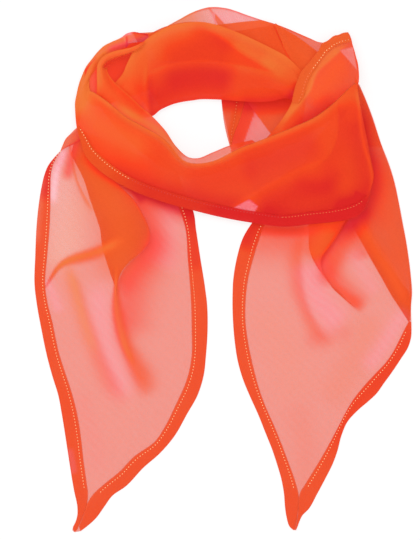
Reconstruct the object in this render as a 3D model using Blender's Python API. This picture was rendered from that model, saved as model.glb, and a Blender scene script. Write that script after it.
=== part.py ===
"""A chiffon scarf laid flat: two pointed tails below a ring of wound folds.

Sizes in the tables are millimetres. +X is to the right, +Y towards the top of the ring and +Z up from
the surface that the scarf lies on. Each stretch of cloth is a wall lofted through a short table of
sections, and each wall is laid on the ones below it, so that no two of them meet.
"""

import bpy
import numpy as np

MM = 0.001

WALL = 1.2  # thickness of a cloth wall
HEM_WALL = 0.9
HEM_WIDTH = 11.0
GAP = 0.4  # air between two walls that lie on each other
LAYER = WALL + GAP

FOLD_RISE = 9.0  # how far the cloth takes to climb onto a pleat
FOLD_NOSE = 1.5  # how far the rounded edge of a pleat stands out from its fold line
FOLD_TOP = 4.0  # least width of the level top of a pleat
FOLD_BLEND = 0.5  # depth of overlap at which a pleat is fully folded

CELL = 1.0  # one cell of the height map that the walls are laid on
MAP_HALF_X = 210
MAP_HALF_Y = 270
FINER = 12  # points between a wall's own, when it is laid
REACH = 1.0  # how near a lower wall counts as being beneath
DRAPE_ROUNDS = 3

CLOTH_COLOUR = (0.88, 0.10, 0.02, 1)
HEM_COLOUR = (0.80, 0.07, 0.01, 1)
FOLDS_COLOUR = (0.75, 0.04, 0.01, 1)

LEFT_TAIL = (
    # left_x, left_y, right_x, right_y, fold_x, under_x, fold_high
    (-145, 114, -28, 64, -111, -132.5, 4.2),
    (-147, 108, -27, 56.5, -106.5, -130.5, 4.2),
    (-158.5, 92.5, -26, 43, -91, -126, 4.2),
    (-162, 81, -24.5, 32.5, -80.5, -120, 4.2),
    (-166.5, 52, -22, 19.5, -70.5, -112.5, 4.2),
    (-168.5, 28.5, -20, 7, -67, -108, 4.2),
    (-169.5, 9, -18, -5.5, -79.5, -104.5, 4.2),
    (-170, -12.5, -16.5, -17, -94.5, -97.5, 4.2),
    (-168.5, -30, -14.5, -31.5, -97.5, -92, 4.2),
    (-165, -49.5, -14, -51.5, -94.5, -86.5, 3.8),
    (-157.5, -81, -16, -81, -85.5, -74, 2.4),
    (-153, -97.5, -17.5, -96.5, -77.5, -63, 1.6),
    (-148.5, -111.5, -22.5, -111, -75, -58.5, 0.9),
    (-145.5, -130.5, -34, -129.5, -76.5, -62.5, 0.5),
    (-142, -151.5, -45, -151.5, -85.5, -72, 0.2),
    (-138, -177.5, -73, -178.5, -103.5, -94.5, 0),
    (-134.5, -194.5, -87.5, -194.5, -111, -103.5, 0),
    (-133, -206, -101, -205.5, -118, -112, 0),
    (-131.5, -218, -110, -218, -121.5, -117, 0),
    (-132, -226, -117, -226, -125.5, -121.5, 0),
    (-134.5, -232.5, -124.5, -232.5, -130, -128, 0),
    (-134.5, -236, -131.5, -236, -133.5, -133, 0),
)

RIGHT_TAIL = (
    # left_x, left_y, right_x, right_y, fold_x, under_x, fold_high
    (77, 107, 117.5, 167.5, 103.5, 98, 4.8),
    (70, 90, 125, 153, 103.5, 85.5, 4.8),
    (56, 71, 135, 133, 108.5, 82.5, 4.8),
    (25.5, 42, 144.5, 106, 113, 81, 4.8),
    (17, 27, 154.5, 76.5, 109.5, 79, 4.8),
    (11.5, 7, 162, 43, 101.5, 78, 4.8),
    (9, -15.5, 167, 13.5, 91.5, 82.5, 4.4),
    (8.5, -31.5, 169.5, -13.5, 97, 97, 4.2),
    (9, -47, 169.5, -36, 105, 116, 2.4),
    (10.5, -64, 169, -57, 110.5, 125, 1.4),
    (13, -81, 162.5, -75.5, 109.5, 125, 0.6),
    (18, -97.5, 148.5, -95.5, 105, 120.5, 0.2),
    (23.5, -111.5, 135, -113.5, 96, 111.5, 0),
    (31, -129, 120.5, -127, 85.5, 99, 0),
    (38.5, -147.5, 107, -147, 74.5, 87, 0),
    (43.5, -160.5, 102.5, -161, 73.5, 83.5, 0),
    (48.5, -174.5, 99, -174, 73.5, 83.5, 0),
    (52, -189, 91.5, -189, 72, 81, 0),
    (54.5, -203.5, 83.5, -203.5, 69, 76.5, 0),
    (56, -215, 76.5, -215, 66.5, 71, 0),
    (57.5, -224, 70, -223.5, 63.5, 66.5, 0),
    (61, -232.5, 66.5, -231.5, 63.5, 65, 0),
)

RIGHT_FLAP = (
    # outer_x, outer_y, inner_x, inner_y, outer_z, crest_z, inner_z, crest_at
    (139.5, 116, 130.5, 108, 0, 0, 0, 0.5),
    (149, 90, 125, 71, 0, 0, 0, 0.5),
    (155.5, 63, 122, 44, 0, 0, 0, 0.5),
    (161, 37.5, 126.5, 28, 0, 0, 0, 0.5),
    (164.5, 16, 133, 9, 0, 0, 0, 0.5),
    (166.5, 0, 143, -7.5, 0, 0, 0, 0.5),
    (167.5, -18, 153.5, -26, 0, 0, 0, 0.5),
    (167.5, -32.5, 161, -37, 0, 0, 0, 0.5),
)

OUTER_BACK = (
    # outer_x, outer_y, inner_x, inner_y, outer_z, crest_z, inner_z, crest_at
    (-80.5, 213, -76, 204, 1, 1.5, 2, 0.5),
    (-69.5, 214.5, -66, 204, 1, 2, 3, 0.5),
    (-57, 216.5, -54, 205, 0.6, 3, 4, 0.6),
    (-39, 226.5, -39, 208.5, 0.6, 3, 4, 0.6),
    (-21, 234.5, -22, 210.5, 0.6, 4, 4, 0.6),
    (-8.5, 236.5, -8.5, 208.5, 0.6, 4, 4, 0.6),
    (4.5, 235.5, 2.5, 206, 0.6, 4, 4, 0.6),
    (19.5, 230.5, 13.5, 203.5, 0.6, 4, 4, 0.6),
    (35, 225, 24, 198, 0.6, 4, 4, 0.6),
    (55.5, 218.5, 37.5, 192.5, 0.6, 4, 4, 0.6),
    (71, 211.5, 52, 182.5, 0.6, 4, 4, 0.6),
    (89, 204, 61, 167.5, 0.6, 3, 3, 0.6),
)

UNDER_LAYER = (
    # outer_x, outer_y, inner_x, inner_y, outer_z, crest_z, inner_z, crest_at
    (-1, 154.5, 7.5, 108, 0.6, 0.6, 0.6, 0.5),
    (15, 160, 19.5, 106, 0.6, 0.6, 0.6, 0.5),
    (35, 161, 35, 108, 0.6, 0.6, 0.6, 0.5),
    (52, 158.5, 50, 117, 0.6, 0.6, 0.6, 0.5),
)

LEFT_TURN = (
    # outer_x, outer_y, inner_x, inner_y, outer_z, crest_z, inner_z, crest_at
    (-146.5, 108, -128, 117, 3, 3, 3, 0.5),
    (-141.5, 118, -121.5, 133, 2, 5, 6, 0.5),
    (-131.5, 128.5, -118, 149.5, 2, 8, 8, 0.6),
    (-133, 148.5, -118, 160, 2, 9, 8, 0.6),
    (-130, 165.5, -118, 171, 2, 9, 7, 0.6),
    (-125, 180, -115.5, 181, 2, 9, 6, 0.5),
    (-118, 189, -111, 187, 2, 9, 6, 0.5),
    (-108, 200.5, -103, 195, 2, 9, 6, 0.5),
    (-94.5, 207.5, -92, 199, 2, 7, 4, 0.5),
    (-86.5, 212.5, -84, 202.5, 1.5, 5, 3, 0.5),
    (-73, 212.5, -72, 206, 1.5, 3, 3, 0.5),
    (-59.5, 212.5, -61.5, 210, 1.5, 2, 2, 0.5),
)

BACK_BAND = (
    # outer_x, outer_y, inner_x, inner_y, outer_z, crest_z, inner_z, crest_at
    (-103.5, 160, -79.5, 136, 8, 9, 5, 0.3),
    (-96.5, 168, -69.5, 136.5, 10, 11, 4, 0.25),
    (-91, 175.5, -63, 139.5, 12, 14, 3, 0.2),
    (-85.5, 185.5, -57, 145, 14, 17, 3, 0.18),
    (-80.5, 195, -50.5, 148, 16, 19, 3, 0.16),
    (-70.5, 205, -43.5, 150, 15, 20, 3, 0.16),
    (-58.5, 213, -35.5, 152, 13, 20, 3, 0.16),
    (-48, 218.5, -28, 153, 12, 20, 3, 0.16),
    (-34.5, 221.5, -20, 153.5, 12, 20, 3, 0.16),
    (-21, 222, -11, 153.5, 12, 20, 3, 0.16),
    (-9, 220.5, -1, 153, 12, 19, 4, 0.18),
    (7, 215, 9.5, 152, 12, 19, 5, 0.18),
    (24, 208, 21.5, 151, 12, 18, 6, 0.2),
    (42, 199, 33, 150.5, 11, 17, 6, 0.2),
    (56.5, 190.5, 44, 151.5, 10, 16, 7, 0.22),
    (70, 178, 56.5, 154, 9, 14, 7, 0.3),
    (80, 169, 69, 149.5, 8, 11, 7, 0.4),
)

TURNOVER = (
    # outer_x, outer_y, inner_x, inner_y, outer_z, crest_z, inner_z, crest_at
    (112, 213, 114, 210.5, 5, 6, 6, 0.5),
    (103.5, 210.5, 116, 202.5, 6, 8, 6, 0.5),
    (93, 205, 118.5, 191.5, 8, 12, 8, 0.5),
    (85.5, 197, 121.5, 180, 10, 15, 9, 0.5),
    (77, 186, 120.5, 165.5, 11, 17, 10, 0.5),
    (69, 176.5, 114, 154.5, 12, 19, 10, 0.5),
    (65, 167.5, 105, 144, 12, 19, 9, 0.45),
    (63, 158.5, 94.5, 133, 11, 18, 8, 0.45),
    (60.5, 148.5, 80, 123, 10, 16, 7, 0.45),
    (53, 136.5, 65.5, 115, 8, 13, 6, 0.45),
    (43, 123, 50, 108, 6, 9, 5, 0.5),
    (36, 114, 39.5, 101.5, 4, 6, 4, 0.5),
)

FRONT_UNDER = (
    # outer_x, outer_y, inner_x, inner_y, outer_z, crest_z, inner_z, crest_at
    (-77.5, 200.5, -82, 194.5, 12, 13, 10, 0.5),
    (-88.5, 198, -92, 192, 12, 15, 10, 0.5),
    (-100, 195, -99, 189, 12, 16, 10, 0.5),
    (-108, 190.5, -103, 184.5, 12, 16, 10, 0.5),
    (-112.5, 184.5, -104, 179, 12, 16, 10, 0.45),
    (-113, 175.5, -102, 173.5, 11, 16, 9, 0.4),
    (-113, 166.5, -96.5, 167.5, 10, 15, 8, 0.4),
    (-112, 155.5, -90, 161.5, 9, 14, 8, 0.4),
    (-105.5, 144, -83, 155, 8, 13, 7, 0.4),
    (-93, 127.5, -74, 146.5, 7, 12, 5, 0.45),
    (-79.5, 114, -65, 138.5, 6, 11, 3, 0.45),
    (-66, 102.5, -56, 132.5, 6, 10, 2, 0.45),
    (-52.5, 92.5, -49, 125, 6, 9, 2, 0.45),
    (-38, 85.5, -42.5, 112.5, 6, 9, 2, 0.45),
    (-23.5, 82.5, -31.5, 101, 6, 8, 2, 0.45),
    (-10, 85.5, -21, 101.5, 6, 8, 2, 0.45),
    (11.5, 92.5, -9, 106, 6, 8, 2, 0.45),
    (29.5, 99, 7, 112.5, 6, 8, 2, 0.45),
    (45.5, 103.5, 25, 116, 6, 8, 2, 0.45),
)

FRONT_BAND = (
    # outer_x, outer_y, inner_x, inner_y, outer_z, crest_z, inner_z, crest_at
    (-128.5, 116.5, -118.5, 159, 3, 9, 8, 0.75),
    (-124, 103, -111, 155, 4, 15, 12, 0.8),
    (-113.5, 91.5, -100, 147, 5, 18, 13, 0.85),
    (-100.5, 81.5, -87.5, 136.5, 6, 20, 13, 0.87),
    (-84, 72.5, -73, 128.5, 6, 21, 13, 0.88),
    (-57, 62, -54, 117.5, 6, 21, 12, 0.88),
    (-27, 53.5, -32.5, 96, 6, 20, 9, 0.85),
    (-3, 47.5, -12, 96, 5, 20, 9, 0.85),
    (25, 42.5, 18, 109.5, 5, 21, 11, 0.87),
    (55.5, 39, 42, 118.5, 6, 22, 14, 0.87),
    (78, 41, 65.5, 127.5, 7, 23, 15, 0.85),
    (99, 43, 84.5, 137.5, 7, 23, 16, 0.83),
    (114, 46.5, 99.5, 149.5, 6, 22, 16, 0.8),
    (124, 52, 109.5, 159.5, 5, 20, 15, 0.75),
    (129.5, 64.5, 116, 165.5, 4, 15, 12, 0.7),
)

FOLDS_FRONT_LEFT = (
    # x, y, half_wide, high
    (-101, 129.5, 8, 9),
    (-89.5, 116, 10, 12),
    (-67.5, 99, 11, 14.5),
    (-39, 80, 10, 14),
    (-8.5, 73, 9, 12),
)

FOLDS_FRONT_RIGHT = (
    # x, y, half_wide, high
    (-1, 72, 8, 12),
    (24, 77.5, 10, 14),
    (46.5, 88, 11, 16),
    (62.5, 106.5, 10.5, 17),
    (74.5, 126, 10, 15),
    (79, 144, 8, 12),
)

FOLDS_BACK = (
    # x, y, half_wide, high
    (-58.5, 167.5, 8, 10),
    (-49.5, 183.5, 10, 14),
    (-34.5, 191.5, 11, 16),
    (-13.5, 193.5, 11, 16),
    (10.5, 189, 10, 15.5),
    (38.5, 176.5, 8, 12),
)

FOLDS_LEFT = (
    # x, y, half_wide, high
    (-94.5, 141, 6.5, 8),
    (-104.5, 154.5, 7, 11),
    (-109, 168, 7, 12.5),
    (-105.5, 181, 7, 12.5),
    (-94.5, 190.5, 6.5, 9),
)

# ---------------------------------------------------------------- curves through the section tables


def sections(table, count):
    """The table's rows made into an even run of `count` rows on a smooth curve."""
    rows = np.array(table, float)
    outer_steps = np.linalg.norm(np.diff(rows[:, 0:2], axis=0), axis=1)
    inner_steps = np.linalg.norm(np.diff(rows[:, 2:4], axis=0), axis=1)
    along = np.concatenate([[0], np.cumsum(outer_steps + inner_steps)])
    slope = np.gradient(rows, along, axis=0)
    at = np.linspace(0, along[-1], count)
    k = np.clip(np.searchsorted(along, at, "right") - 1, 0, len(along) - 2)
    span = (along[k + 1] - along[k])[:, None]
    t = (at[:, None] - along[k][:, None]) / span
    start = rows[k] * (1 + 2 * t) * (1 - t) ** 2
    start += slope[k] * span * t * (1 - t) ** 2
    end = rows[k + 1] * t**2 * (3 - 2 * t)
    end += slope[k + 1] * span * t**2 * (t - 1)
    return start + end


def ease(t):
    t = np.clip(t, 0, 1)
    return t * t * (3 - 2 * t)


# ---------------------------------------------------------------- middle surfaces of the walls


def pleated_row(row):
    """One section of a tail: it climbs onto its pleat, doubles back under it and goes on flat."""
    left_x, left_y, right_x, right_y, fold_x, under_x, high = row
    bend = high / 4
    lip = max(min(fold_x - FOLD_TOP, under_x - FOLD_NOSE), left_x + 0.25 * (fold_x - left_x))
    foot = max(lip - FOLD_RISE, left_x + 0.3 * (lip - left_x))
    near = np.linspace(left_x, foot, 4)[:-1]
    climb = np.linspace(foot, lip, 5)[:-1]
    top_x = np.concatenate([near, climb, np.linspace(lip, fold_x, 4)])
    top_z = high * ease((top_x - foot) / (lip - foot))

    turn = np.radians([50, 90, 130])
    back = np.linspace(fold_x, under_x, 4)
    folded_x = np.concatenate([fold_x + FOLD_NOSE * np.sin(turn), back, under_x - FOLD_NOSE * np.sin(turn)])
    folded_z = np.concatenate([3 * bend + bend * np.cos(turn), 0 * back + 2 * bend, bend + bend * np.cos(turn)])
    w = np.linspace(0, 1, len(folded_x) + 2)[1:-1]
    slope_x = fold_x + w * (under_x - fold_x)
    slope_z = high * (1 - ease(w))
    share = float(np.clip((fold_x - under_x) / FOLD_BLEND, 0, 1))
    mid_x = slope_x + share * (folded_x - slope_x)
    mid_z = slope_z + share * (folded_z - slope_z)

    clear = 0.15 * right_x + 0.85 * max(fold_x, under_x)
    flat_x = np.concatenate([np.linspace(under_x, clear, 4)[:-1], np.linspace(clear, right_x, 4)])
    x = np.concatenate([top_x, mid_x, flat_x])
    z = np.concatenate([top_z, mid_z, 0 * flat_x]) + WALL / 2
    y = left_y + (x - left_x) / (right_x - left_x) * (right_y - left_y)
    return np.stack([x, y, z], axis=1)


def tail(table, count):
    return np.array([pleated_row(row) for row in sections(table, count)])


def band(table, count, across):
    """A stretch between an outer and an inner edge, arched over its crest."""
    rows = sections(table, count)
    v = (1 - np.cos(np.linspace(0, np.pi, across))) / 2
    v = 0.5 * v + 0.5 * np.linspace(0, 1, across)
    outer, inner = rows[:, None, 0:2], rows[:, None, 2:4]
    flat = outer + v[None, :, None] * (inner - outer)
    outer_z, crest_z, inner_z, crest_at = (rows[:, c, None] for c in (4, 5, 6, 7))
    near = outer_z + (crest_z - outer_z) * ease(v / crest_at)
    far = inner_z + (crest_z - inner_z) * ease((1 - v) / (1 - crest_at))
    z = np.where(v < crest_at, near, far)
    z = np.maximum(z, WALL / 2)
    return np.concatenate([flat, z[:, :, None]], axis=2)


def normals(grid):
    """Which way each point of a wall faces, turned upwards on the whole."""
    facing = np.cross(np.gradient(grid, axis=0), np.gradient(grid, axis=1))
    facing /= np.linalg.norm(facing, axis=2)[..., None]
    return facing if facing[..., 2].sum() > 0 else -facing


def hem(panel, first, last):
    """The turned strip along a panel's first column, made from the panel's points and moved out.

    It is never wider than half the panel, so that the strips of a pointed tail mitre."""
    facing = normals(panel)
    edge = panel[first:last, 0, :2]
    along = np.gradient(edge, axis=0)
    along /= np.linalg.norm(along, axis=1)[:, None]
    strips = []
    for row, out, ahead in zip(panel[first:last], facing[first:last], along):
        across = row[-1, :2] - row[0, :2]
        reach = np.linalg.norm(across)
        lean = abs(ahead[0] * across[1] - ahead[1] * across[0]) / reach
        width = min(HEM_WIDTH / max(lean, 0.3), reach / 2 - GAP)
        gone = (row[:, :2] - row[0, :2]) @ across / reach
        gone = np.maximum.accumulate(gone)
        at = np.linspace(0, width, 4)
        point = np.stack([np.interp(at, gone, row[:, k]) for k in range(3)], axis=1)
        way = np.stack([np.interp(at, gone, out[:, k]) for k in range(3)], axis=1)
        strips.append(point + way * (WALL / 2 + GAP + HEM_WALL / 2))
    return np.array(strips)


def heap(table, count):
    """A rounded roll of hidden folds, flat where it rests."""
    rows = np.array(table, float)
    padded = np.column_stack([rows[:, 0:2], rows[:, 0:2], rows[:, 2:]])
    x, y, _, _, half_wide, high = sections(padded, count).T
    centre = np.stack([x, y], axis=1)
    ahead = np.gradient(centre, axis=0)
    ahead /= np.linalg.norm(ahead, axis=1)[:, None]
    across = np.stack([-ahead[:, 1], ahead[:, 0]], axis=1)
    end = ease(np.minimum(np.arange(count), np.arange(count)[::-1]) / 2 * 0.6 + 0.4)
    turn = np.linspace(0, np.pi, 11)
    side = np.cos(turn)
    up = np.sin(turn) ** 0.6
    reach = (half_wide * (0.6 + 0.4 * end))[:, None] * side[None, :]
    flat = centre[:, None] + across[:, None] * reach[:, :, None]
    z = (high * end)[:, None] * up[None, :]
    return np.concatenate([flat, z[:, :, None]], axis=2)


# ---------------------------------------------------------------- laying one wall on another


def bare_surface():
    shape = (int(2 * MAP_HALF_X / CELL) + 1, int(2 * MAP_HALF_Y / CELL) + 1)
    return np.full(shape, WALL / 2 - LAYER)


def cells(points):
    i = np.rint((points[..., 0] + MAP_HALF_X) / CELL).astype(int)
    j = np.rint((points[..., 1] + MAP_HALF_Y) / CELL).astype(int)
    return i, j


def finer(grid, times):
    """The grid with straight runs of points between its own."""
    for axis in (0, 1):
        old = np.arange(grid.shape[axis])
        new = np.linspace(0, old[-1], old[-1] * times + 1)
        low = np.minimum(new.astype(int), old[-1] - 1)
        t = (new - low).reshape([-1, 1, 1] if axis == 0 else [1, -1, 1])
        grid = np.take(grid, low, axis) * (1 - t) + np.take(grid, low + 1, axis) * t
    return grid


def add_to_map(heights, grid, half_wall):
    """Heights are kept as the middle of a cloth wall whose top is this high."""
    points = finer(grid, FINER)
    i, j = cells(points)
    np.maximum.at(heights, (i.ravel(), j.ravel()), (points[..., 2] + half_wall - WALL / 2).ravel())


def widened(heights, reach):
    """Each cell takes the greatest height within `reach` of it."""
    steps = int(np.ceil(reach / CELL))
    padded = np.pad(heights, steps, mode="edge")
    out = heights.copy()
    for di in range(-steps, steps + 1):
        for dj in range(-steps, steps + 1):
            if di * di + dj * dj > (steps + 0.5) ** 2:
                continue
            rows = slice(steps + di, steps + di + heights.shape[0])
            cols = slice(steps + dj, steps + dj + heights.shape[1])
            np.maximum(out, padded[rows, cols], out=out)
    return out


def softened(lift):
    padded = np.pad(lift, 1, mode="edge")
    ring = padded[:-2, 1:-1] + padded[2:, 1:-1] + padded[1:-1, :-2] + padded[1:-1, 2:]
    return 0.5 * lift + 0.125 * ring


def lift_to_clear(short):
    """How far to raise each point of a grid for what its neighbourhood falls short by."""
    near = 1 - np.abs(np.arange(-FINER, FINER + 1)) / FINER
    share = near[:, None] * near[None, :]
    windows = np.lib.stride_tricks.sliding_window_view(np.pad(short, FINER), share.shape)
    return (windows[::FINER, ::FINER] * share).max(axis=(2, 3))


def lay(heights, grid):
    """Lift the grid clear of all that lies below it, drape it, let it down to touch, and map it."""
    fine = finer(grid, FINER)
    i, j = cells(fine)
    needed = widened(heights, REACH)[i, j] + LAYER
    lift = np.zeros(grid.shape[:2])
    for turn in range(DRAPE_ROUNDS):
        for _ in range(30):
            raised = finer((grid[..., 2] + lift)[..., None], FINER)[..., 0]
            lift += lift_to_clear(np.maximum(needed - raised, 0))
        if turn < DRAPE_ROUNDS - 1:
            lift = softened(lift)
    laid = grid.copy()
    laid[..., 2] += lift
    spare = (finer(laid, FINER)[..., 2] - needed).min()
    laid[..., 2] -= max(spare, 0)
    add_to_map(heights, laid, WALL / 2)
    return laid


# ---------------------------------------------------------------- solids


def material(name, colour):
    made = bpy.data.materials.new(name)
    made.use_nodes = True
    shader = made.node_tree.nodes["Principled BSDF"]
    shader.inputs["Base Color"].default_value = colour
    shader.inputs["Roughness"].default_value = 0.8
    made.diffuse_color = colour
    return made


def new_object(name, points, faces, colour):
    mesh = bpy.data.meshes.new(name)
    mesh.from_pydata([tuple(p * MM) for p in points], [], faces)
    mesh.materials.append(material(name + "_cloth", colour))
    mesh.validate()
    made = bpy.data.objects.new(name, mesh)
    scarf.objects.link(made)
    return made


def volume(points, faces):
    total = 0.0
    for face in faces:
        a = points[face[0]]
        for k in range(1, len(face) - 1):
            total += np.dot(a, np.cross(points[face[k]], points[face[k + 1]]))
    return total / 6


def grid_faces(rows, cols, first, flip):
    faces = []
    for r in range(rows - 1):
        for c in range(cols - 1):
            a = first + r * cols + c
            face = (a, a + 1, a + cols + 1, a + cols)
            faces.append(face[::-1] if flip else face)
    return faces


def rim(rows, cols):
    """Indices round the border of a grid, in order."""
    top = [c for c in range(cols)]
    right = [r * cols + cols - 1 for r in range(1, rows)]
    bottom = [(rows - 1) * cols + c for c in range(cols - 2, -1, -1)]
    left = [r * cols for r in range(rows - 2, 0, -1)]
    return top + right + bottom + left


def outward(points, faces):
    if volume(points, faces) < 0:
        return [face[::-1] for face in faces]
    return faces


def wall_object(name, grid, thickness, colour):
    rows, cols = grid.shape[:2]
    shift = normals(grid) * thickness / 2
    points = np.concatenate([(grid + shift).reshape(-1, 3), (grid - shift).reshape(-1, 3)])
    points[:, 2] = np.maximum(points[:, 2], 0)
    under = rows * cols
    faces = grid_faces(rows, cols, 0, False) + grid_faces(rows, cols, under, True)
    border = rim(rows, cols)
    for a, b in zip(border, border[1:] + border[:1]):
        faces.append((b, a, a + under, b + under))
    return new_object(name, points, outward(points, faces), colour)


def heap_object(name, grid, colour):
    rows, cols = grid.shape[:2]
    points = grid.reshape(-1, 3)
    faces = grid_faces(rows, cols, 0, False)
    for r in range(rows - 1):
        faces.append((r * cols + cols - 1, r * cols, (r + 1) * cols, (r + 1) * cols + cols - 1))
    faces.append(tuple(range(cols))[::-1])
    faces.append(tuple((rows - 1) * cols + c for c in range(cols)))
    return new_object(name, points, outward(points, faces), colour)


def centre_on_origin(objects):
    """Put the middle of the scarf's outline over the origin."""
    corners = np.array([v.co for made in objects for v in made.data.vertices])
    middle = (corners.min(axis=0) + corners.max(axis=0)) / 2
    for made in objects:
        for vertex in made.data.vertices:
            vertex.co.x -= middle[0]
            vertex.co.y -= middle[1]


# ---------------------------------------------------------------- the scarf, from the surface upwards

for old in list(bpy.data.objects):
    bpy.data.objects.remove(old)
scarf = bpy.data.collections.new("chiffon_scarf")
bpy.context.scene.collection.children.link(scarf)
heights = bare_surface()


def add_wall(name, grid):
    laid = lay(heights, grid)
    wall_object(name, laid, WALL, CLOTH_COLOUR)
    return laid


def add_hem(name, panel, first, last):
    grid = hem(panel, first, last)
    wall_object(name, grid, HEM_WALL, HEM_COLOUR)
    add_to_map(heights, grid, HEM_WALL / 2)


def add_heap(name, table, count):
    grid = heap(table, count)
    heap_object(name, grid, FOLDS_COLOUR)
    add_to_map(heights, grid, 0)


add_wall("outer_back", band(OUTER_BACK, 18, 6))
add_wall("under_layer", band(UNDER_LAYER, 6, 5))
add_wall("right_tail_flap", band(RIGHT_FLAP, 12, 5))
left_tail = add_wall("left_tail", tail(LEFT_TAIL, 30))
right_tail = add_wall("right_tail", tail(RIGHT_TAIL, 32))
add_hem("left_tail_hem_outer", left_tail, 1, 30)
add_hem("left_tail_hem_inner", left_tail[:, ::-1], 1, 30)
add_hem("right_tail_hem_inner", right_tail, 5, 32)
add_hem("right_tail_hem_outer", right_tail[:, ::-1], 15, 32)

add_heap("folds_front_left", FOLDS_FRONT_LEFT, 10)
add_heap("folds_front_right", FOLDS_FRONT_RIGHT, 12)
add_heap("folds_back", FOLDS_BACK, 12)
add_heap("folds_left", FOLDS_LEFT, 8)

add_wall("left_turn", band(LEFT_TURN, 18, 6))
add_wall("back_band", band(BACK_BAND, 22, 10))
turnover = add_wall("turnover", band(TURNOVER, 15, 9))
add_wall("front_under", band(FRONT_UNDER, 24, 6))
front_band = add_wall("front_band", band(FRONT_BAND, 26, 11))
add_hem("turnover_hem", turnover, 1, 10)
add_hem("front_hem", front_band, 0, 25)

centre_on_origin(list(scarf.objects))
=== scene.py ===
"""A chiffon scarf laid flat: two pointed, hemmed tails below a ring of wound folds.

Sizes in this file are millimetres, on the frame of the model: +X to the right, +Y towards the top of
the ring, +Z up from the table. Every stretch of cloth is an open sheet, laid in turn on what is
already there, so the file goes from the table upwards in the order in which the scarf was laid.
"""

import bpy
import numpy as np
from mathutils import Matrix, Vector


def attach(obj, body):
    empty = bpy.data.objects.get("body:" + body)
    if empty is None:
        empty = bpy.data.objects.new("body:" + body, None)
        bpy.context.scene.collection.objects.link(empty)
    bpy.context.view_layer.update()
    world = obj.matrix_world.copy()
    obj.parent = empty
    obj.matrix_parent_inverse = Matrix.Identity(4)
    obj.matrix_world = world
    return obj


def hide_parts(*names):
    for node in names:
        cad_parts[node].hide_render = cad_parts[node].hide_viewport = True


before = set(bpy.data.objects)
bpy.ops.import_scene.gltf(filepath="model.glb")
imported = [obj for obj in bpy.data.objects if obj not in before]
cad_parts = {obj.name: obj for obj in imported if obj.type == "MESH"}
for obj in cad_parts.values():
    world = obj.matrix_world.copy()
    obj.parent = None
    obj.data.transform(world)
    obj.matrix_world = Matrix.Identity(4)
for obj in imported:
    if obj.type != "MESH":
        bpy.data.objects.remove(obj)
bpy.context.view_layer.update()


# ---------------------------------------------------------------- table, light and camera
# A white table top, lit from below as well and larger than the view, under one wide soft lamp at the
# upper left and an even white surround. The camera hangs over the middle and looks straight down.
# Places in this section are in metres.

scene = bpy.context.scene
scene.view_settings.view_transform = "Standard"
scene.cycles.transparent_max_bounces = 40

table_mesh = bpy.data.meshes.new("table_top")
table_mesh.from_pydata([(-3, -3, 0), (3, -3, 0), (3, 3, 0), (-3, 3, 0)], [], [(0, 1, 2, 3)])
table_top = bpy.data.objects.new("table_top", table_mesh)
scene.collection.objects.link(table_top)
paint = bpy.data.materials.new("white_paint")
paint.use_nodes = True
paint_shader = paint.node_tree.nodes["Principled BSDF"]
paint_shader.inputs["Base Color"].default_value = (0.25, 0.25, 0.25, 1)
paint_shader.inputs["Emission Color"].default_value = (1, 1, 1, 1)
paint_shader.inputs["Emission Strength"].default_value = 0.72
paint_shader.inputs["Roughness"].default_value = 0.9
paint_shader.inputs["Specular IOR Level"].default_value = 0.1
table_mesh.materials.append(paint)

surround = bpy.data.worlds.new("surround")
surround.use_nodes = True
surround.node_tree.nodes["Background"].inputs["Color"].default_value = (1, 1, 1, 1)
surround.node_tree.nodes["Background"].inputs["Strength"].default_value = 1.18
scene.world = surround


def aimed(thing, place, target):
    thing.location = place
    thing.rotation_euler = (Vector(target) - Vector(place)).to_track_quat("-Z", "Y").to_euler()
    scene.collection.objects.link(thing)
    return thing


soft_lamp = bpy.data.lights.new("soft_lamp", "AREA")
soft_lamp.shape = "SQUARE"
soft_lamp.size = 1.0
soft_lamp.energy = 3.2
aimed(bpy.data.objects.new("soft_lamp", soft_lamp), (-0.8, 0.9, 1.3), (0, 0, 0))

lens = bpy.data.cameras.new("camera")
lens.lens = 150
lens.clip_end = 20
camera = bpy.data.objects.new("camera", lens)
camera.location = (-0.0119, 0, 2.025)
scene.collection.objects.link(camera)
scene.camera = camera


# ---------------------------------------------------------------- the cloth and its thread
# Crinkled orange polyester chiffon, about 0.1 mm thick and half open between its threads, dyed
# through. Where threads bunch or several layers lie together, less of the table shows. Painted
# light and shade are mixed into its colour, and a painted glow, emission in its own colour, stands
# in for light that has passed through the cloth.


class Value:
    """A shader socket that can be used in sums."""

    def __init__(self, nodes, socket):
        self.nodes = nodes
        self.socket = socket

    def worked(self, operation, *terms):
        node = self.nodes.tree.nodes.new("ShaderNodeMath")
        node.operation = operation
        for place, term in zip(node.inputs, terms):
            self.nodes.plug(place, term)
        return Value(self.nodes, node.outputs[0])

    def __add__(self, other):
        return self.worked("ADD", self, other)

    def __sub__(self, other):
        return self.worked("SUBTRACT", self, other)

    def __mul__(self, other):
        return self.worked("MULTIPLY", self, other)

    def __pow__(self, other):
        return self.worked("POWER", self, other)

    def __radd__(self, other):
        return self.worked("ADD", other, self)

    def __rsub__(self, other):
        return self.worked("SUBTRACT", other, self)

    def __rmul__(self, other):
        return self.worked("MULTIPLY", other, self)

    def __rpow__(self, other):
        return self.worked("POWER", other, self)

    def __neg__(self):
        return self.worked("MULTIPLY", self, -1.0)

    def sine(self):
        return self.worked("SINE", self)

    def held(self, low=0.0, high=1.0):
        """The value, kept between low and high."""
        least = self.worked("MAXIMUM", self, low)
        return least.worked("MINIMUM", least, high)


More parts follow.
